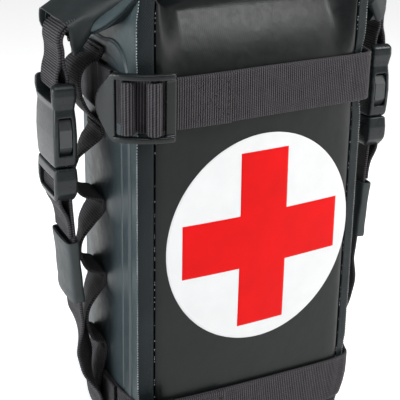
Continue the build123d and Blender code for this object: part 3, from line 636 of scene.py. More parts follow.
def back_panel():
    nu, nz, ns = 91, 120, 26
    c = np.linspace(-1, 1, nu)
    xi = np.sin(c * math.pi / 2)
    zz = np.concatenate([14 * (1 - np.cos(np.linspace(0, math.pi / 2, 18))), np.linspace(14, TOP, nz - 17)[1:]])
    ub = float(side_u(33.0))
    P = []
    for z in zz:
        U = half_w(z) + (ub - HW) * smooth(8, 46, z)
        u = U * xi
        d = np.minimum(U - np.abs(u), z)
        cx = (HW - R_OUT)
        corner = (np.abs(u) > cx) & (z < R_OUT)
        d = np.where(corner, R_OUT - np.hypot(np.abs(u) - cx, R_OUT - z), d)
        d = np.maximum(d, 0)
        rnd = np.where(d < 12.5, 12.5 - np.sqrt(np.maximum(12.5 ** 2 - (12.5 - d) ** 2, 0)), 0)
        e = np.clip(1 - (u / 56.0) ** 2, 0, 1)
        y = YR - rnd + REAR_B * e * smooth(6, 50, z) + 0.25 * wob(u, z + 0 * u, 70, 41) * smooth(8, 20, d)
        y = np.maximum(y, 33.0)
        P.append(shear(u, y, z + 0 * u))
    P = np.array(P)
    u = P[-1, :, 0] - K * P[-1, :, 1]
    y = P[-1, :, 1]
    ts = np.linspace(0, 1, ns)[1:]
    wt = smooth(HW - 9, HW + 0.5, np.abs(u))
    ztop = rear_top(u) * (1 - wt) + side_top(y) * wt
    S = []
    for t in ts:
        a = shoulder(u, y, ztop, np.zeros_like(u), np.full_like(u, t))
        b = shoulder(np.sign(u) * np.maximum(np.abs(u), HW), y, ztop, np.ones_like(u), np.full_like(u, t))
        w = smooth(HW - 9, HW + 0.5, np.abs(u))[:, None]
        S.append(a * (1 - w) + b * w)
    S = np.array(S)
    S[..., 2] -= 0.7 * wob(S[..., 0], S[..., 1], 30, 43) * np.sin(ts * math.pi)[:, None]
    P[..., 2] -= smooth(120, TOP, P[..., 2]) * (TOP - ztop)[None, :]
    P = np.concatenate([P, S], 0)
    return slab("back_panel_skin", P, 1.1, M_SIDE, away=np.array([0, 1, 0]))


def bottom_panel():
    ys = np.linspace(YF + 0.9, 36.0, 40)
    us = np.linspace(-(HW - R_OUT) - 0.2, HW - R_OUT + 0.2, 40)
    U, Y = np.meshgrid(us, ys, indexing="ij")
    P = shear(U, Y, 0.02 + 0.05 * (1 + wob(U, Y, 40, 51)) * 0.2)
    return slab("bottom_panel_skin", P, 1.1, M_SIDE, away=np.array([0, 0, -1]))


front = front_panel()
strip_l = border_strip("left_border_strip_skin", -1)
strip_r = border_strip("right_border_strip_skin", 1)
side_l = side_panel("left_side_panel_skin", -1)
side_r = side_panel("right_side_panel_skin", 1)
back = back_panel()
bottom = bottom_panel()
for ob, names in ((front, ["front_panel", "collar", "collar_neck"]), (strip_l, ["left_border_strip"]), (strip_r, ["right_border_strip"]),
                  (side_l, ["left_side_panel"]), (side_r, ["right_side_panel"]), (back, ["back_panel"]), (bottom, ["bottom_panel"])):
    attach(ob, "pouch")
    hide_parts(*names)


# ---------------------------------------------------------------- badge
def badge():
    nr, na = 40, 160
    r = 56.3 * np.sin(np.linspace(0, math.pi / 2, nr))
    a = np.linspace(0, 2 * math.pi, na, endpoint=False)
    R_, A_ = np.meshgrid(r[1:], a, indexing="ij")
    x = BADGE[0] + R_ * np.cos(A_)
    z = BADGE[1] + R_ * np.sin(A_)
    off = 0.34 - 0.3 * smooth(55.6, 56.3, R_)
    cx, cz = np.array([BADGE[0]]), np.array([BADGE[1]])
    yy = front_y(x - K * YF, z, 0) - off
    yc = front_y(cx - K * YF, cz, 0) - 0.34
    V = np.vstack([[[cx[0], yc[0], cz[0]]], np.stack([x, yy, z], -1).reshape(-1, 3)])
    F = []
    idx = 1 + np.arange((nr - 1) * na).reshape(nr - 1, na)
    for j in range(na):
        F.append((0, idx[0, j], idx[0, (j + 1) % na]))
    nx = np.roll(idx, -1, 1)
    F += [tuple(f) for f in np.stack([idx[:-1], idx[1:], nx[1:], nx[:-1]], -1).reshape(-1, 4)]
    n = len(V)
    V2 = V.copy(); V2[:, 1] += 0.3
    F2 = [tuple(i + n for i in f[::-1]) for f in F]
    rim = [(idx[-1, j], idx[-1, j] + n, idx[-1, (j + 1) % na] + n, idx[-1, (j + 1) % na]) for j in range(na)]
    ob = mesh("badge_disc_film", np.vstack([V, V2]), F + F2 + rim, M_WHITE)
    fix(ob)
    return ob


def cross():
    Lc, a = 47.6, 14.4
    e = 0.35
    k = np.unique(np.round(np.concatenate([np.linspace(-Lc, -a, 22), np.linspace(-a, a, 20), np.linspace(a, Lc, 22), [-Lc + e, Lc - e, -a - e, -a + e, a - e, a + e]]), 5))
    n = len(k)
    keep = {}
    V, F = [], []
    def vid(i, j, lay):
        key = (i, j, lay)
        if key not in keep:
            x, z = k[i], k[j]
            inside = max(min(Lc - abs(x), a - abs(z)), min(a - abs(x), Lc - abs(z)))
            inside = max(inside, 0)
            if abs(x) <= a and abs(z) <= a:
                inside = max(inside, min(math.hypot(a - abs(x), a - abs(z)), 5))
            off = 0.36 + 0.2 * float(smooth(0, 0.35, inside)) if lay == 0 else 0.3
            X, Z = BADGE[0] + x, BADGE[1] + z
            keep[key] = len(V)
            V.append((X, float(front_y(X - K * YF, Z)) - off, Z))
        return keep[key]
    cell = lambda i, j: 0 <= i < n - 1 and 0 <= j < n - 1 and (abs(k[i] + k[i + 1]) / 2 < a or abs(k[j] + k[j + 1]) / 2 < a)
    for i in range(n - 1):
        for j in range(n - 1):
            if not cell(i, j):
                continue
            F.append((vid(i, j, 0), vid(i + 1, j, 0), vid(i + 1, j + 1, 0), vid(i, j + 1, 0)))
            F.append((vid(i, j + 1, 1), vid(i + 1, j + 1, 1), vid(i + 1, j, 1), vid(i, j, 1)))
            for di, dj, p, q in ((-1, 0, (i, j), (i, j + 1)), (1, 0, (i + 1, j), (i + 1, j + 1)), (0, -1, (i, j), (i + 1, j)), (0, 1, (i, j + 1), (i + 1, j + 1))):
                if not cell(i + di, j + dj):
                    F.append((vid(*p, 0), vid(*q, 0), vid(*q, 1), vid(*p, 1)))
    ob = mesh("badge_cross_film", V, F, M_RED)
    fix(ob)
    return ob


disc, cr = badge(), cross()
for ob, nn, sl in ((disc, "badge_disc", "white_film"), (cr, "badge_cross", "red_film")):
    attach(ob, "pouch"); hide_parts(nn)


# ---------------------------------------------------------------- side patches with their double weld line
def side_patch(name, s):
    R_, yf, yr, z0, z1 = 27.0, -36.0, 33.0, 30.0, 237.0
    zs = np.concatenate([np.linspace(z0, z1 - R_, 64), z1 - R_ + R_ * np.sin(np.linspace(0, math.pi / 2 * 0.97, 30))[1:]])
    a = np.concatenate([np.linspace(0, 0.25, 46), np.linspace(0.25, 1, 34)[1:]])
    P, wl = [], []
    for z in zs:
        d = max(0.0, z - (z1 - R_))
        f = yf + R_ - math.sqrt(max(R_ * R_ - d * d, 0))
        d2 = max(0.0, z - (z1 - 12.0))
        r = yr - 12.0 + math.sqrt(max(12.0 ** 2 - d2 * d2, 0))
        y = f + (r - f) * a
        # distance in from the front and top border
        dist = np.where((z > z1 - R_) & (y < yf + R_), R_ - np.hypot(yf + R_ - y, z - (z1 - R_)), np.minimum(y - yf, z1 - z if z > z1 - R_ else 1e3))
        g = 0.42 * np.exp(-((dist - 1.2) / 0.45) ** 2) + 0.5 * np.exp(-((dist - 9.6) / 0.5) ** 2)
        rise = 0.75 * smooth(-0.1, 0.7, dist)
        zz = z - 6.0 * smooth(-36, 0, y) * smooth(120, TOP, z)
        crown = SIDE_B * (1 - (y / YR) ** 2) * smooth(8, 46, zz) + 0.18 * wob(y, zz, 60, 21 if s < 0 else 22)
        puff = 0.5 * smooth(9.6, 22, dist)
        u = HW + crown + 0.05 + rise - g + puff
        P.append(shear(s * u, y, zz))
    P = squeeze(np.array(P))
    return slab(name, P, 0.7, M_PATCH, away=np.array([s, 0, 0]))


for s, tag in ((-1, "left"), (1, "right")):
    ob = side_patch(tag + "_side_patch_skin", s)
    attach(ob, "pouch"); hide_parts(tag + "_side_patch")


# ---------------------------------------------------------------- roll-top
def roll():
    nx, na = 190, 84
    xs = np.linspace(-95.4, 95.4, nx)
    a = np.linspace(0, 2 * math.pi, na, endpoint=False)
    rings = []
    for x in xs:
        c = roll_c(np.clip(x, -98, 98))
        sl = -x / math.sqrt(RR * RR - min(abs(x), 98) ** 2)
        T = np.array([1, 0, sl]); T /= np.linalg.norm(T)
        Bn = np.array([0, 1, 0.0])
        Nn = np.cross(T, Bn)
        h, w = float(roll_h(x)), 17.2 - 0.9 * (x / 98) ** 2
        ex = 2.0 / 2.7
        ca, sa = np.cos(a), np.sin(a)
        py = w * np.sign(ca) * np.abs(ca) ** ex
        pz = h * np.sign(sa) * np.abs(sa) ** ex
        # the last turn's edge runs along the roll, low on the front
        st = 0.9 * smooth(3.62, 3.55, a) * smooth(1.2, 3.4, a)
        pr = 1 + 0.055 * st
        py, pz = py * pr, pz * pr
        # soft creases, stronger towards the pulled-down ends
        k = (abs(x) / 98) ** 2
        wr = (0.35 + 0.7 * k) * wob(x + 0 * a, a * 14, 26, 61) + 0.8 * k * np.sin(a * 2 + x * 0.09)
        py = py + wr * ca * 0.7
        pz = pz + wr * sa * 0.6
        # each half dishes a little on top
        pz = pz - 1.1 * np.exp(-((py - 1) / 7.0) ** 2) * (sa > 0)
        ct, stt = math.cos(TILT), math.sin(TILT)
        y2 = py * ct - pz * stt
        z2 = py * stt + pz * ct
        ring_ = np.array([x, 0, c]) + y2[:, None] * Bn + z2[:, None] * Nn
        # the last turn's end hangs open either side of the webbing tab
        lobe = smooth(84, 95.4, abs(x)) * smooth(0.45, 0.95, np.abs(ca)) * smooth(0.75, 0.1, sa)
        ring_[:, 2] -= lobe * np.where(ca < 0, 8.5, 6.0)
        ring_[:, 1] += lobe * np.where(ca < 0, 2.2, -0.5)
        rings.append(ring_)
    return np.array(rings)


def roll_mesh():
    Rg = roll()
    nx, na = Rg.shape[:2]
    V = [Rg.reshape(-1, 3)]
    idx = np.arange(nx * na).reshape(nx, na)
    nn = np.roll(idx, -1, 1)
    F = [tuple(f) for f in np.stack([idx[:-1], idx[1:], nn[1:], nn[:-1]], -1).reshape(-1, 4)]
    base = nx * na
    # open ends: a turned rim, then the turns set back inside
    for e, (ring, sx) in enumerate(((Rg[0], -1), (Rg[-1], 1))):
        cen = ring.mean(0)
        prev = idx[0] if e == 0 else idx[-1]
        steps = [(0.985, 0.6), (0.93, 0.55), (0.91, -0.6), (0.905, -6.0), (0.80, -6.4)]
        last = prev
        for sc, dx in steps:
            q = cen + (ring - cen) * sc
            q[:, 0] += sx * dx
            V.append(q)
            cur = base + np.arange(na)
            base += na
            l2, c2 = np.roll(last, -1), np.roll(cur, -1)
            F += [tuple(f) for f in np.stack([last, cur, c2, l2], -1)]
            last = cur
        V.append(cen[None] + np.array([[sx * -6.6, 0, 0]]))
        c = base
        base += 1
        l2 = np.roll(last, -1)
        F += [(int(l), int(m2), c) for l, m2 in zip(last, l2)]
    ob = mesh("roll_closure_skin", np.vstack(V), F, M_ROLL)
    fix(ob)
    return ob


def roll_turns(name, sx):
    """The inner turns that show in the end of the roll: a flat spiral of fabric."""
    Rg = roll()
    ring = Rg[0] if sx < 0 else Rg[-1]
    cen = ring.mean(0)
    na = len(ring)
    turns = 2.6
    n = int(na * turns)
    P = []
    for i in range(n):
        t = i / (n - 1)
        sc = 0.80 - 0.62 * t
        q = cen + (ring[i % na] - cen) * sc
        q = q.copy()
        q[1] += 0.0
        P.append([q + np.array([sx * dx, 0, 0]) for dx in (-6.3, -2.6 + 0.8 * math.sin(i * 0.21), -1.2 - 1.1 * t)])
    P = np.array(P)
    return slab(name, P, 0.8, M_ROLL, away=None)


roll_ob = roll_mesh()
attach(roll_ob, "pouch"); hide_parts("roll_closure")
for s, tag in ((-1, "left"), (1, "right")):
    ob = roll_turns(tag + "_roll_turns", s)
    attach(ob, "pouch")


# ---------------------------------------------------------------- compression straps
def ring_path(c, extra=1.0, r=6.0):
    """Plan line round the body, c mm proud, in leaning coordinates (u, y), from the front middle to the right and round."""
    pts = []
    def add(u, y): pts.append((u, y))
    for u in np.linspace(0, HW + c - r, 40):
        add(u, YF - FRONT_B * max(0, 1 - (u / 64.0) ** 2) - 0.75 * max(0, 1 - (u / 64.0) ** 2) - c)
    cu, cy = HW + c - r, YF - c + r
    for a in np.linspace(-90, 0, 14)[1:]:
        add(cu + r * math.cos(math.radians(a)), cy + r * math.sin(math.radians(a)))
    for y in np.linspace(cy, 33, 34)[1:]:
        w = 1 - ((y + 5.0) / 38.5) ** 2 if y < 33 else 0
        add(HW + c + (SIDE_B + extra) * max(0.0, 1 - (y / YR) ** 2) ** 0.8 * smooth(cy - 1, cy + 16, y), y)
    u3 = pts[-1][0]
    for a in np.linspace(0, 90, 14)[1:]:
        add(u3 - 12.5 + 12.5 * math.cos(math.radians(a)), 33 + (12.5 + c) * math.sin(math.radians(a)))
    for u in np.linspace(u3 - 12.5, 0, 30)[1:]:
        add(u, YR + c + (REAR_B + 0.2) * max(0, 1 - (u / 56.0) ** 2))
    R_ = np.array(pts)
    L_ = R_[::-1][1:-1].copy()
    L_[:, 0] *= -1
    return np.vstack([R_, L_])


def strap_ring(name, zc, tilt, c, mat):
    q = even(ring_path(c), 0.3, closed=True)
    q = np.roll(q, len(q) // 2, axis=0)
    C = np.stack([q[:, 0] + K * q[:, 1], q[:, 1], zc - (q[:, 0] + K * q[:, 1]) * math.tan(tilt)], 1)
    C[:, 2] += 0.35 * np.sin(q[:, 0] * 0.045 + 1) * (q[:, 1] < 0)
    ob = webbing(name, C, (0, 0, 1), mat, closed=True)
    # below the round lower corners the strap's lower edge draws in with the body
    co = np.array([v.co[:] for v in ob.data.vertices]) * 1000
    u = co[:, 0] - K * co[:, 1]
    pull = (HW - half_w(co[:, 2])) * smooth(50, 66, np.abs(u))
    co[:, 0] -= np.sign(u) * pull * 0.85
    # it beds into the turned-back right front corner
    a = np.exp(-((u - HW) ** 2 + (co[:, 1] - YF) ** 2) / 110.0) * (2.4 if tilt else 0.8)
    co[:, 0] -= a
    co[:, 1] += 0.7 * a
    ob.data.vertices.foreach_set("co", (co * 0.001).ravel().astype(np.float32))
    return ob


C_RING = 0.3 + WEB_T / 2
for tag, zc, tilt in (("top", TOP_Z, 0.0), ("bottom", LOW_Z, LOW_TILT)):
    ob = strap_ring(tag + "_strap_web", zc, tilt, C_RING, M_WEB)
    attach(ob, "pouch"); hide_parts(tag + "_strap")


# the same bow as the ladder-locks, in plan
def circle3(p1, p2, p3):
    ax, ay = p1; bx, by = p2; cx, cy = p3
    d = 2 * (ax * (by - cy) + bx * (cy - ay) + cx * (ay - by))
    ux = ((ax**2 + ay**2) * (by - cy) + (bx**2 + by**2) * (cy - ay) + (cx**2 + cy**2) * (ay - by)) / d
    uy = ((ax**2 + ay**2) * (cx - bx) + (bx**2 + by**2) * (ax - cx) + (cx**2 + cy**2) * (bx - ax)) / d
    return ux, uy, math.hypot(ax - ux, ay - uy)


mp = lambda u, y: (u + K * y, y)
LP, LM, LQ = mp(-53.2, -53.4), mp(-72.8, -47.0), mp(-85.4, -29.0)
LCX, LCY, LR = circle3(LP, LM, LQ)
A0 = math.atan2(LP[1] - LCY, LP[0] - LCX)
A1 = math.atan2(LQ[1] - LCY, LQ[0] - LCX)
if A1 > A0:
    A1 -= 2 * math.pi
ARC = LR * abs(A1 - A0)


def on_arc(l, dr=0.0):
    a = A0 + (A1 - A0) * l / ARC
    return np.array([LCX + (LR + dr) * math.cos(a), LCY + (LR + dr) * math.sin(a)])


B1, B2 = on_arc(10.6, 0.7), on_arc(23.0, -0.2)


def lift(pl, zc, tilt):
    """Plan points to the strap's (tilted) plane, as the CAD model has it."""
    pl = np.asarray(pl, float)
    return np.stack([pl[:, 0] * math.cos(tilt), pl[:, 1], zc - pl[:, 0] * math.sin(tilt)], 1)


for tag, zc, tilt in (("top", TOP_Z, 0.0), ("bottom", LOW_Z, LOW_TILT)):
    W = np.array([math.sin(tilt), 0, math.cos(tilt)])
    # sewn fold: lies on the strap, goes under the rail and round the fixed bar, and back to the strap
    pts = []
    for u in np.linspace(-20.8, -55, 30):
        y = YF - (FRONT_B + 0.75) * max(0, 1 - (u / 64.0) ** 2) - 0.3 - 1.5 * WEB_T - 0.12
        pts.append(mp(u, y))
    r = 1.6 + 0.35 + WEB_T / 2
    for a in np.radians(np.linspace(60, -215, 40)):
        pts.append((B1[0] + r * math.cos(a), B1[1] + r * math.sin(a)))
    pts = np.array(pts)
    pl = even(np.vstack([resample(pts[[0, 6, 12, 18, 24, 29]], 0.3), pts[30:]]), 0.3)
    ob = webbing(tag + "_strap_fold_web", lift(pl, zc, tilt), W, M_WEB)
    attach(ob, "pouch"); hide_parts(tag + "_strap_fold")
    # adjusting end, round the second bar and back under itself
    r = 1.6 + 0.05 + WEB_T / 2
    a0 = math.atan2(B2[1] - LCY, B2[0] - LCX)
    pts = []
    for a in np.linspace(a0 + 2.1, a0 - 2.3, 50):
        pts.append((B2[0] + r * math.cos(a), B2[1] + r * math.sin(a)))
    ob = webbing(tag + "_adjuster_fold_web", lift(even(np.array(pts), 0.3), zc, tilt), W, M_WEB)
    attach(ob, tag + "_lock"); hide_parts(tag + "_adjuster_fold")
    # free tail, flat along the side under the thumb end
    pts = []
    for y in np.linspace(-22.0, -6.0, 16):
        u = -(side_u(y) + 1.0 + 0.3 + WEB_T * 1.5 + 0.25)
        pts.append((u + K * y, y))
    pts = np.array(pts)
    C = even(pts, 0.3)
    C = np.stack([C[:, 0], C[:, 1], zc - C[:, 0] * math.tan(tilt)], 1)
    ob = webbing(tag + "_strap_tail_web", C, (0, 0, 1), M_WEB)
    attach(ob, "pouch"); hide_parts(tag + "_strap_tail")
    # box-and-cross stitching: separate stitches that sit in the webbing
    parts = []
    uc, hw_, hh = -33.0, 9.8, 9.7
    runs = [((-hw_, hh), (hw_, hh)), ((hw_, hh), (hw_, -hh)), ((hw_, -hh), (-hw_, -hh)), ((-hw_, -hh), (-hw_, hh)), ((-hw_, hh), (hw_, -hh)), ((-hw_, -hh), (hw_, hh))]
    for p, q in runs:
        p, q = np.array(p), np.array(q)
        ln = np.linalg.norm(q - p)
        n = int(ln / 2.9)
        for i in range(n):
            a_ = p + (q - p) * (i + 0.14) / n
            b_ = p + (q - p) * (i + 0.86) / n
            tt = np.linspace(0, 1, 7)[:, None]
            c2 = a_ + (b_ - a_) * tt
            u = uc + c2[:, 0]
            y = YF - (FRONT_B + 0.75) * np.maximum(0, 1 - (u / 64.0) ** 2) - 0.3 - 2 * WEB_T - 0.12
            y = y - 0.34 * np.sin(tt[:, 0] * math.pi) + 0.28
            X = u + K * YF
            C = np.stack([X, y, zc + c2[:, 1] - X * math.tan(tilt)], 1)
            rr = 0.3 * np.sqrt(np.clip(1 - (2 * tt[:, 0] - 1) ** 4, 0.05, 1))
            parts.append(tube("", C, rr, None, 6))
    ob = join_parts(tag + "_box_stitches", parts, M_THREAD)
    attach(ob, "pouch"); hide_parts(tag + "_box_stitch")

# ---------------------------------------------------------------- daisy chains
TACKS = [223.5, 184.0, 144.0, 103.0, 62.0, 7.2]
OUTS = [14.0, 14.0, 12.0, 9.5, 5.2]


def elev(s, x_out, y, w, z):
    """Side coordinates (w out, z up) to the row frame."""
    w = np.asarray(w, float)
    z = np.asarray(z, float)
    o = np.array([s * x_out + K * y, y, 0])
    n = np.array([s * CS, -s * SN, 0])
    return o + w[..., None] * n + np.stack([0 * z, 0 * z, z], -1)


# loop profiles: how far out, and how far down the loop
LEAF = ((0.2, 0.0), (0.62, 0.06), (0.9, 0.17), (1.0, 0.32), (0.94, 0.5), (0.72, 0.7), (0.42, 0.87), (0.14, 0.98))
DROOP = ((0.10, 0.04), (0.42, 0.16), (0.80, 0.36), (0.98, 0.58), (0.98, 0.76), (0.84, 0.89), (0.5, 0.96), (0.16, 0.99))


def daisy(s, tag):
    u0 = float(side_u(8.0)) + 0.95
    pts = [(0.75, 226.5), (0.75, 225.0), (0.85, 223.5)]
    for i, out in enumerate(OUTS):
        z1, z0 = TACKS[i] - 3.2, TACKS[i + 1] + 3.2
        if i == 4:
            z0 = 21.0
        H = z1 - z0
        # leaves the body gently, hangs out, and turns back sharply at the foot of the loop
        shape = LEAF if i == 0 else DROOP
        for fo, fz in shape:
            pts.append((0.75 + (out - 1.5) * fo, z1 - H * fz))
        if i < 4:
            pts += [(0.75, TACKS[i + 1] + 2.0), (0.75, TACKS[i + 1] - 2.0)]
    # the last tack follows the round lower corner
    for z in (18.5, 15.0, 11.0):
        pts.append((0.75 - (HW - float(half_w(z))), z))
    c = resample(np.array(pts), 0.3)
    C = elev(s, u0, 8.0, c[:, 0], c[:, 1])
    tw = np.zeros(len(C))
    tz = np.zeros(len(C))
    t = np.array([SN, CS, 0.0])
    W = np.repeat(t[None], len(C), 0)
    # loops twist a little, each its own way
    for i in range(5):
        zm = (TACKS[i] + TACKS[i + 1]) / 2
        g = np.exp(-((c[:, 1] - zm) / 11.0) ** 2)
        tw += [-0.06, 0.42, 0.30, 0.22, 0.1][i] * g
        tz = tz + [0.14, -0.1, 0.12, -0.12, 0.05][i] * g
    n_ = np.array([s * CS, -s * SN, 0])
    W = np.cos(tw)[:, None] * t - np.sin(tw)[:, None] * n_ + tz[:, None] * np.array([0, 0, 1.0])
    W /= np.linalg.norm(W, axis=1, keepdims=True)
    ob = webbing(tag + "_daisy_chain_web", C, W, M_WEB)
    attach(ob, "pouch"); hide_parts(tag + "_daisy_chain")
    parts = []
    for zt in TACKS[:-1]:
        ys = np.linspace(-11, 11, 180)
        zig = 1.1 * np.sign(np.sin(ys * 2 * math.pi / 0.85))
        zig = np.convolve(zig, np.ones(3) / 3, "same")
        p = elev(s, u0, 8.0, np.full_like(ys, 1.72), zt + zig)
        C2 = p + ys[:, None] * t
        parts.append(tube("", C2, 0.26, None, 6))
    ob = join_parts(tag + "_daisy_tack_threads", parts, M_THREAD)
    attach(ob, "pouch"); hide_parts(tag + "_daisy_tacks")


for s, tag in ((-1, "left"), (1, "right")):
    daisy(s, tag)

# ---------------------------------------------------------------- closure straps
SX = 97.5
FBAR, MBAR = 210.4, 160.5
MID = 2.05 + WEB_T / 2
LOWER = [(-MID, 160.5), (-MID, 155.0), (-MID - 0.1, 150.0), (-4.4, 130.0), (-5.8, 110.0), (-7.2, 90.0), (-9.2, 76.0), (-12.0, 62.0), (-16.2, 44.0), (-18.2, 30.0), (-21.4, 21.8), (-27.2, 15.8), (-33.2, 11.6), (-37.8, 8.7)]
TAILP = [(MID, 160.5), (MID, 157.0), (2.4, 151.0), (-0.6, 144.5), (-1.9, 139.0), (-2.3, 133.0)]
for s, tag in ((-1, "left"), (1, "right")):
    t = np.array([SN, CS, 0.0])
    # tab: from the end of the roll, round the female half's bar and back up, sewn together
    r = MID
    arc_ = [(r * math.cos(a), FBAR + r * math.sin(a)) for a in np.radians(np.linspace(0, -180, 26))]
    up_in = [(-r, FBAR + 3), (-r * 0.8, FBAR + 7), (-0.95, FBAR + 12), (-0.85, 228.0), (-0.2, 233.0), (-1.6, 237.0), (-5.0, 239.8), (-8.5, 240.8)]
    up_out = [(r, FBAR + 3), (r * 0.8, FBAR + 7), (0.95, FBAR + 12), (0.85, 228.0), (1.5, 233.0), (0.3, 237.8), (-3.6, 241.3), (-7.5, 242.5)]
    pts = np.array(up_out[::-1] + arc_ + up_in)
    c = resample(pts, 0.3)
    ob = webbing(tag + "_tab_web", elev(s, SX, 0.0, c[:, 0], c[:, 1]), t, M_WEB)
    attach(ob, "pouch"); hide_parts(tag + "_tab_webbing")
    # lower strap
    c = resample(np.array(LOWER), 0.3)
    tw = 0.5 * smooth(86, 66, c[:, 1]) * smooth(38, 58, c[:, 1])
    Wt = np.cos(tw)[:, None] * t - np.sin(tw)[:, None] * np.array([s * CS, -s * SN, 0])
    ob = webbing(tag + "_lower_strap_web", elev(s, SX, 0.0, c[:, 0], c[:, 1]), Wt, M_WEB)
    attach(ob, "pouch"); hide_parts(tag + "_lower_strap")
    # its fold round the male half's bar, and the tail
    arc_ = [(r * math.cos(a), MBAR + r * math.sin(a)) for a in np.radians(np.linspace(180, 0, 26))]
    c = resample(np.array(arc_ + TAILP[1:]), 0.3)
    ob = webbing(tag + "_strap_tail_fold_web", elev(s, SX, 0.0, c[:, 0], c[:, 1]), t, M_WEB)
    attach(ob, "pouch"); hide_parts(tag + "_strap_tail")
    # anchor stitches
    parts = []
    for zl in (10.4, 13.4):
        ws = np.interp(zl, [8.7, 11.6, 15.8, 21.8], [-37.8, -33.2, -27.2, -21.4]) + WEB_T * 0.86
        for yy in np.linspace(-10.5, 10.5, 8):
            q = np.linspace(-1.2, 1.2, 7)
            p = elev(s, SX, 0.0, np.full(7, ws) + 0.25 * np.cos(q / 1.2 * math.pi / 2), np.full(7, zl)) + (yy + q)[:, None] * t
            parts.append(tube("", p, 0.3, None, 6))
    ob = join_parts(tag + "_anchor_stitches", parts, M_THREAD)
    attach(ob, "pouch"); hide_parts(tag + "_strap_anchor_stitch")


# keeper sleeves
def keeper(s, tag):
    run = np.array([-7.2 + 2.85, 90.0 - 150.0]); run /= np.linalg.norm(run)
    kc = np.array([-2.85 + run[0] * (150.0 - 114.5) / -run[1], 114.5])
    nrm = np.array([-run[1], run[0]])
    n, ls = 72, np.linspace(-16.5, 16.5, 30)
    a = np.linspace(0, 2 * math.pi, n, endpoint=False)
    def ring(l, w, h, r, e):
        sx_ = np.sign(np.cos(a)); sy_ = np.sign(np.sin(a))
        px_ = (w / 2) * sx_ * np.abs(np.cos(a)) ** e
        py_ = (h / 2) * sy_ * np.abs(np.sin(a)) ** e
        py_ = py_ + 0.5 * np.exp(-(px_ / 8.0) ** 2) * np.sign(py_) * r
        c2 = kc + run * l + nrm * 1.05
        p = c2[None] + nrm[None] * py_[:, None]
        P3 = elev(s, SX, 0.0, p[:, 0], p[:, 1]) + px_[:, None] * np.array([SN, CS, 0.0])
        return P3
    outer, inner = [], []
    for l in ls:
        k = math.exp(-((l - 14) / 3.0) ** 2) + 0.5 * math.exp(-((l + 15) / 2.0) ** 2)
        outer.append(ring(l, 29.2 + 0.9 * k, 7.0 + 0.8 * k + 0.3 * math.sin(l * 0.35), 0.8, 2 / 5.0))
        inner.append(ring(l, 27.0 + 0.5 * k, 5.1 + 0.4 * k, 0.2, 2 / 9.0))  # square corners, clear of the strap's edges
    O, I = np.array(outer), np.array(inner)
    cut = np.linspace(-1, 1, n)
    V = np.concatenate([O.reshape(-1, 3), I.reshape(-1, 3)])
    m2 = len(ls)
    i = np.arange(m2 * n).reshape(m2, n)
    j = np.roll(i, -1, 1)
    F = [tuple(f) for f in np.stack([i[:-1], i[1:], j[1:], j[:-1]], -1).reshape(-1, 4)]
    o = m2 * n
    F += [tuple(f) for f in (np.stack([i[:-1], j[:-1], j[1:], i[1:]], -1).reshape(-1, 4) + o)]
    F += [(int(p), int(q), int(q + o), int(p + o)) for p, q in zip(j[0], i[0])]
    F += [(int(p), int(q), int(q + o), int(p + o)) for p, q in zip(i[-1], j[-1])]
    ob = mesh(tag + "_keeper_sleeve", V, F, M_KEEP)
    fix(ob)
    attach(ob, tag + "_keeper"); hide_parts(tag + "_strap_keeper")


for s, tag in ((-1, "left"), (1, "right")):
    keeper(s, tag)

# ---------------------------------------------------------------- raw edges beside the seams: pale tufts, partly thread ends and partly a painted highlight along the edge
def edge_beads(name, s, seam=False):
    """Pale tufts along a cut edge of the coated cloth, unevenly spaced: partly the cloth's thread ends, partly a
    painted highlight where the edge catches the light.
    """
    L, _ = u_path(0.25, 256.0)
    rnd = np.random.RandomState(71 + (s > 0) + 2 * seam)
    P = []
    for k, (u, z, ou, oz) in enumerate(L):
        if seam:
            P.append(shear(s * (abs(u) - abs(ou) * 8.6), YF + 0.3, z - oz * 8.6))
        else:
            P.append(shear(s * (abs(u) + abs(ou) * 0.05), YF + 0.5, max(z + oz * 0.05, 0.3)))
    if not seam:
        ts = np.linspace(0, 0.1, 14)[1:]
        top = [shoulder(np.array(s * (HW + 0.05)), np.array(YF + 0.5), np.array(256.0), np.array(0.0), np.array(t)) for t in ts]
        P = top[::-1] + P
    C = squeeze(even(np.array(P), 0.1))
    parts, i = [], 4
    while i < len(C) - 16:
        ln = int(rnd.uniform(6, 10)) if not seam else int(rnd.uniform(4, 11))
        if not seam or rnd.rand() < 0.3:
            q = C[i:i + ln + 1][[0, ln // 3, 2 * ln // 3, ln]] + rnd.uniform(-0.05, 0.05, 3)
            k = rnd.uniform(0.8, 1.15) * (0.3 if not seam else 0.17)
            parts.append(tube("", q, np.array([0.4, 1, 1, 0.4]) * k, None, 6))
        i += ln + int(rnd.uniform(5, 8))
    return join_parts(name, parts, M_EDGE_TUFTS_AND_HIGHLIGHT)


for s, tag in ((-1, "left"), (1, "right")):
    for seam in (False, True):
        ob = edge_beads(tag + ("_seam_tufts" if seam else "_corner_tufts"), s, seam)
        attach(ob, "pouch")

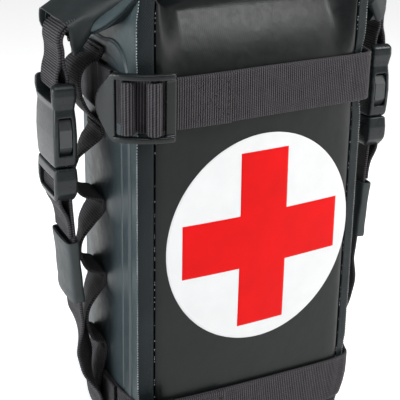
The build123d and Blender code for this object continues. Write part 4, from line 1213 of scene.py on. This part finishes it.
# ---------------------------------------------------------------- moulded parts: soft mould edges and sculpted sides
def moulded(node, body, name, voxel, passes, shape=None, mat=None):
    import bmesh
    src = NODES[node]
    tmp = bpy.data.objects.new("tmp", src.data.copy())
    bpy.context.scene.collection.objects.link(tmp)
    r = tmp.modifiers.new("r", "REMESH")
    r.mode = "VOXEL"
    r.voxel_size = voxel * 0.001
    r.use_smooth_shade = True
    dg = bpy.context.evaluated_depsgraph_get()
    me = bpy.data.meshes.new_from_object(tmp.evaluated_get(dg))
    bpy.data.objects.remove(tmp)
    bm = bmesh.new()
    bm.from_mesh(me)
    for _ in range(passes):
        bmesh.ops.smooth_vert(bm, verts=bm.verts, factor=0.5, use_axis_x=True, use_axis_y=True, use_axis_z=True)
    bm.to_mesh(me)
    bm.free()
    if shape:
        co = np.empty(len(me.vertices) * 3, np.float32)
        me.vertices.foreach_get("co", co)
        co = shape(co.reshape(-1, 3).astype(float) * 1000) * 0.001
        me.vertices.foreach_set("co", co.astype(np.float32).ravel())
    me.materials.clear()
    me.materials.append(mat or M_PLAS)
    me.polygons.foreach_set("use_smooth", [True] * len(me.polygons))
    me.name = name
    ob = bpy.data.objects.new(name, me)
    bpy.context.scene.collection.objects.link(ob)
    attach(ob, body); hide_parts(node)
    return ob


def sculpt(s, zs, wid, thick):
    o = np.array([s * SX, 0, 0])
    n = np.array([s * CS, -s * SN, 0])
    t = np.array([SN, CS, 0])
    def f(P):
        d = P - o
        a, w_, z = d @ t, d @ n, P[:, 2]
        fa = np.interp(z, zs, wid) / 16.5
        fw = np.interp(z, zs, thick) / 6.0
        a2 = a * fa
        w2 = w_ * fw
        w2 = w2 + np.sign(w_) * 0.45 * np.clip(1 - (a / 16.5) ** 2, 0, 1) * smooth(4.6, 5.8, np.abs(w_))
        return o + a2[:, None] * t + w2[:, None] * n + np.stack([0 * z, 0 * z, z], -1)
    return f


for s, tag in ((-1, "left"), (1, "right")):
    moulded(tag + "_buckle_female", "pouch", tag + "_female_moulding", 0.42, 3,
            sculpt(s, [171, 179, 187, 195, 200.5, 203.5, 207, 211, 213], [15.5, 16.4, 16.8, 16.3, 15.4, 15.8, 16.7, 16.5, 15.8], [5.5, 5.8, 5.9, 5.6, 5.2, 5.7, 6.1, 6.0, 5.5]))
    moulded(tag + "_buckle_male", "pouch", tag + "_male_moulding", 0.42, 3,
            sculpt(s, [153, 156, 160, 165, 171, 200], [14.0, 15.4, 16.2, 16.4, 15.6, 16.0], [4.9, 5.5, 5.8, 5.8, 5.5, 5.8]))
for tag in ("top", "bottom"):
    moulded(tag + "_ladder_lock", tag + "_lock", tag + "_lock_moulding", 0.36, 8, None, M_LOCK_SHADED)
for nme, o in NODES.items():
    if "prong" in nme:
        o.data.materials.clear(); o.data.materials.append(M_PRONG)
    elif nme == "roll_stiffener":
        o.data.materials.clear(); o.data.materials.append(M_STIFF)

# ---------------------------------------------------------------- floor, light and camera
fl = bpy.data.meshes.new("floor")
S_ = 6.0
fl.from_pydata([(-S_, -S_, 0), (S_, -S_, 0), (S_, S_, 0), (-S_, S_, 0)], [], [(0, 1, 2, 3)])
floor = bpy.data.objects.new("floor", fl)
bpy.context.scene.collection.objects.link(floor)
fm, fnt, fb = mat_base("floor_white", (0.95, 0.95, 0.95), 0.9, 0.1)
fb.inputs["Emission Color"].default_value = (1, 1, 1, 1)
fb.inputs["Emission Strength"].default_value = 0.56
fl.materials.append(fm)

w = bpy.data.worlds.new("world")
bpy.context.scene.world = w
w.use_nodes = True
w.node_tree.nodes["Background"].inputs[0].default_value = (1, 1, 1, 1)
w.node_tree.nodes["Background"].inputs[1].default_value = 0.24


def area(name, loc, target, size, power, color=(1, 1, 1), size_y=None):
    from mathutils import Vector
    l = bpy.data.lights.new(name, "AREA")
    l.energy = power
    l.color = color
    l.size = size
    if size_y:
        l.shape = "RECTANGLE"
        l.size_y = size_y
    o = bpy.data.objects.new(name, l)
    o.location = loc
    o.rotation_euler = (Vector(target) - Vector(loc)).to_track_quat("-Z", "Y").to_euler()
    bpy.context.scene.collection.objects.link(o)
    return o


area("key_top", (-0.15, -0.35, 0.95), (0, 0, 0.15), 0.5, 2.4)
area("top_right", (0.42, -0.5, 0.86), (0, -0.04, 0.23), 0.42, 6.5)
area("left_soft", (-0.95, 0.05, 0.35), (0, 0, 0.13), 0.55, 8, (0.92, 0.97, 1.0))
area("right_rim", (0.75, -0.45, 0.3), (0.03, -0.02, 0.13), 0.35, 2.5, (1.0, 0.97, 0.95), 0.7)

from mathutils import Matrix, Vector
Rv = Vector((0.85429474, -0.51955231, 0.01568107))
Uv = Vector((0.16632952, 0.30182695, 0.93874117))
Bv = Vector((-0.49245811, -0.79935342, 0.34426606))
cam_d = bpy.data.cameras.new("camera")
cam_d.sensor_width = 36.0
cam_d.lens = 1110.2 / 400 * 36.0
cam_d.clip_start = 0.01
cam = bpy.data.objects.new("camera", cam_d)
M = Matrix.Identity(4)
for i in range(3):
    M[i][0], M[i][1], M[i][2] = Rv[i], Uv[i], Bv[i]
cam.matrix_world = Matrix.Translation(Vector((-0.31235, -0.48486, 0.34359))) @ M
bpy.context.scene.collection.objects.link(cam)
bpy.context.scene.camera = cam
bpy.context.scene.view_settings.view_transform = "Standard"
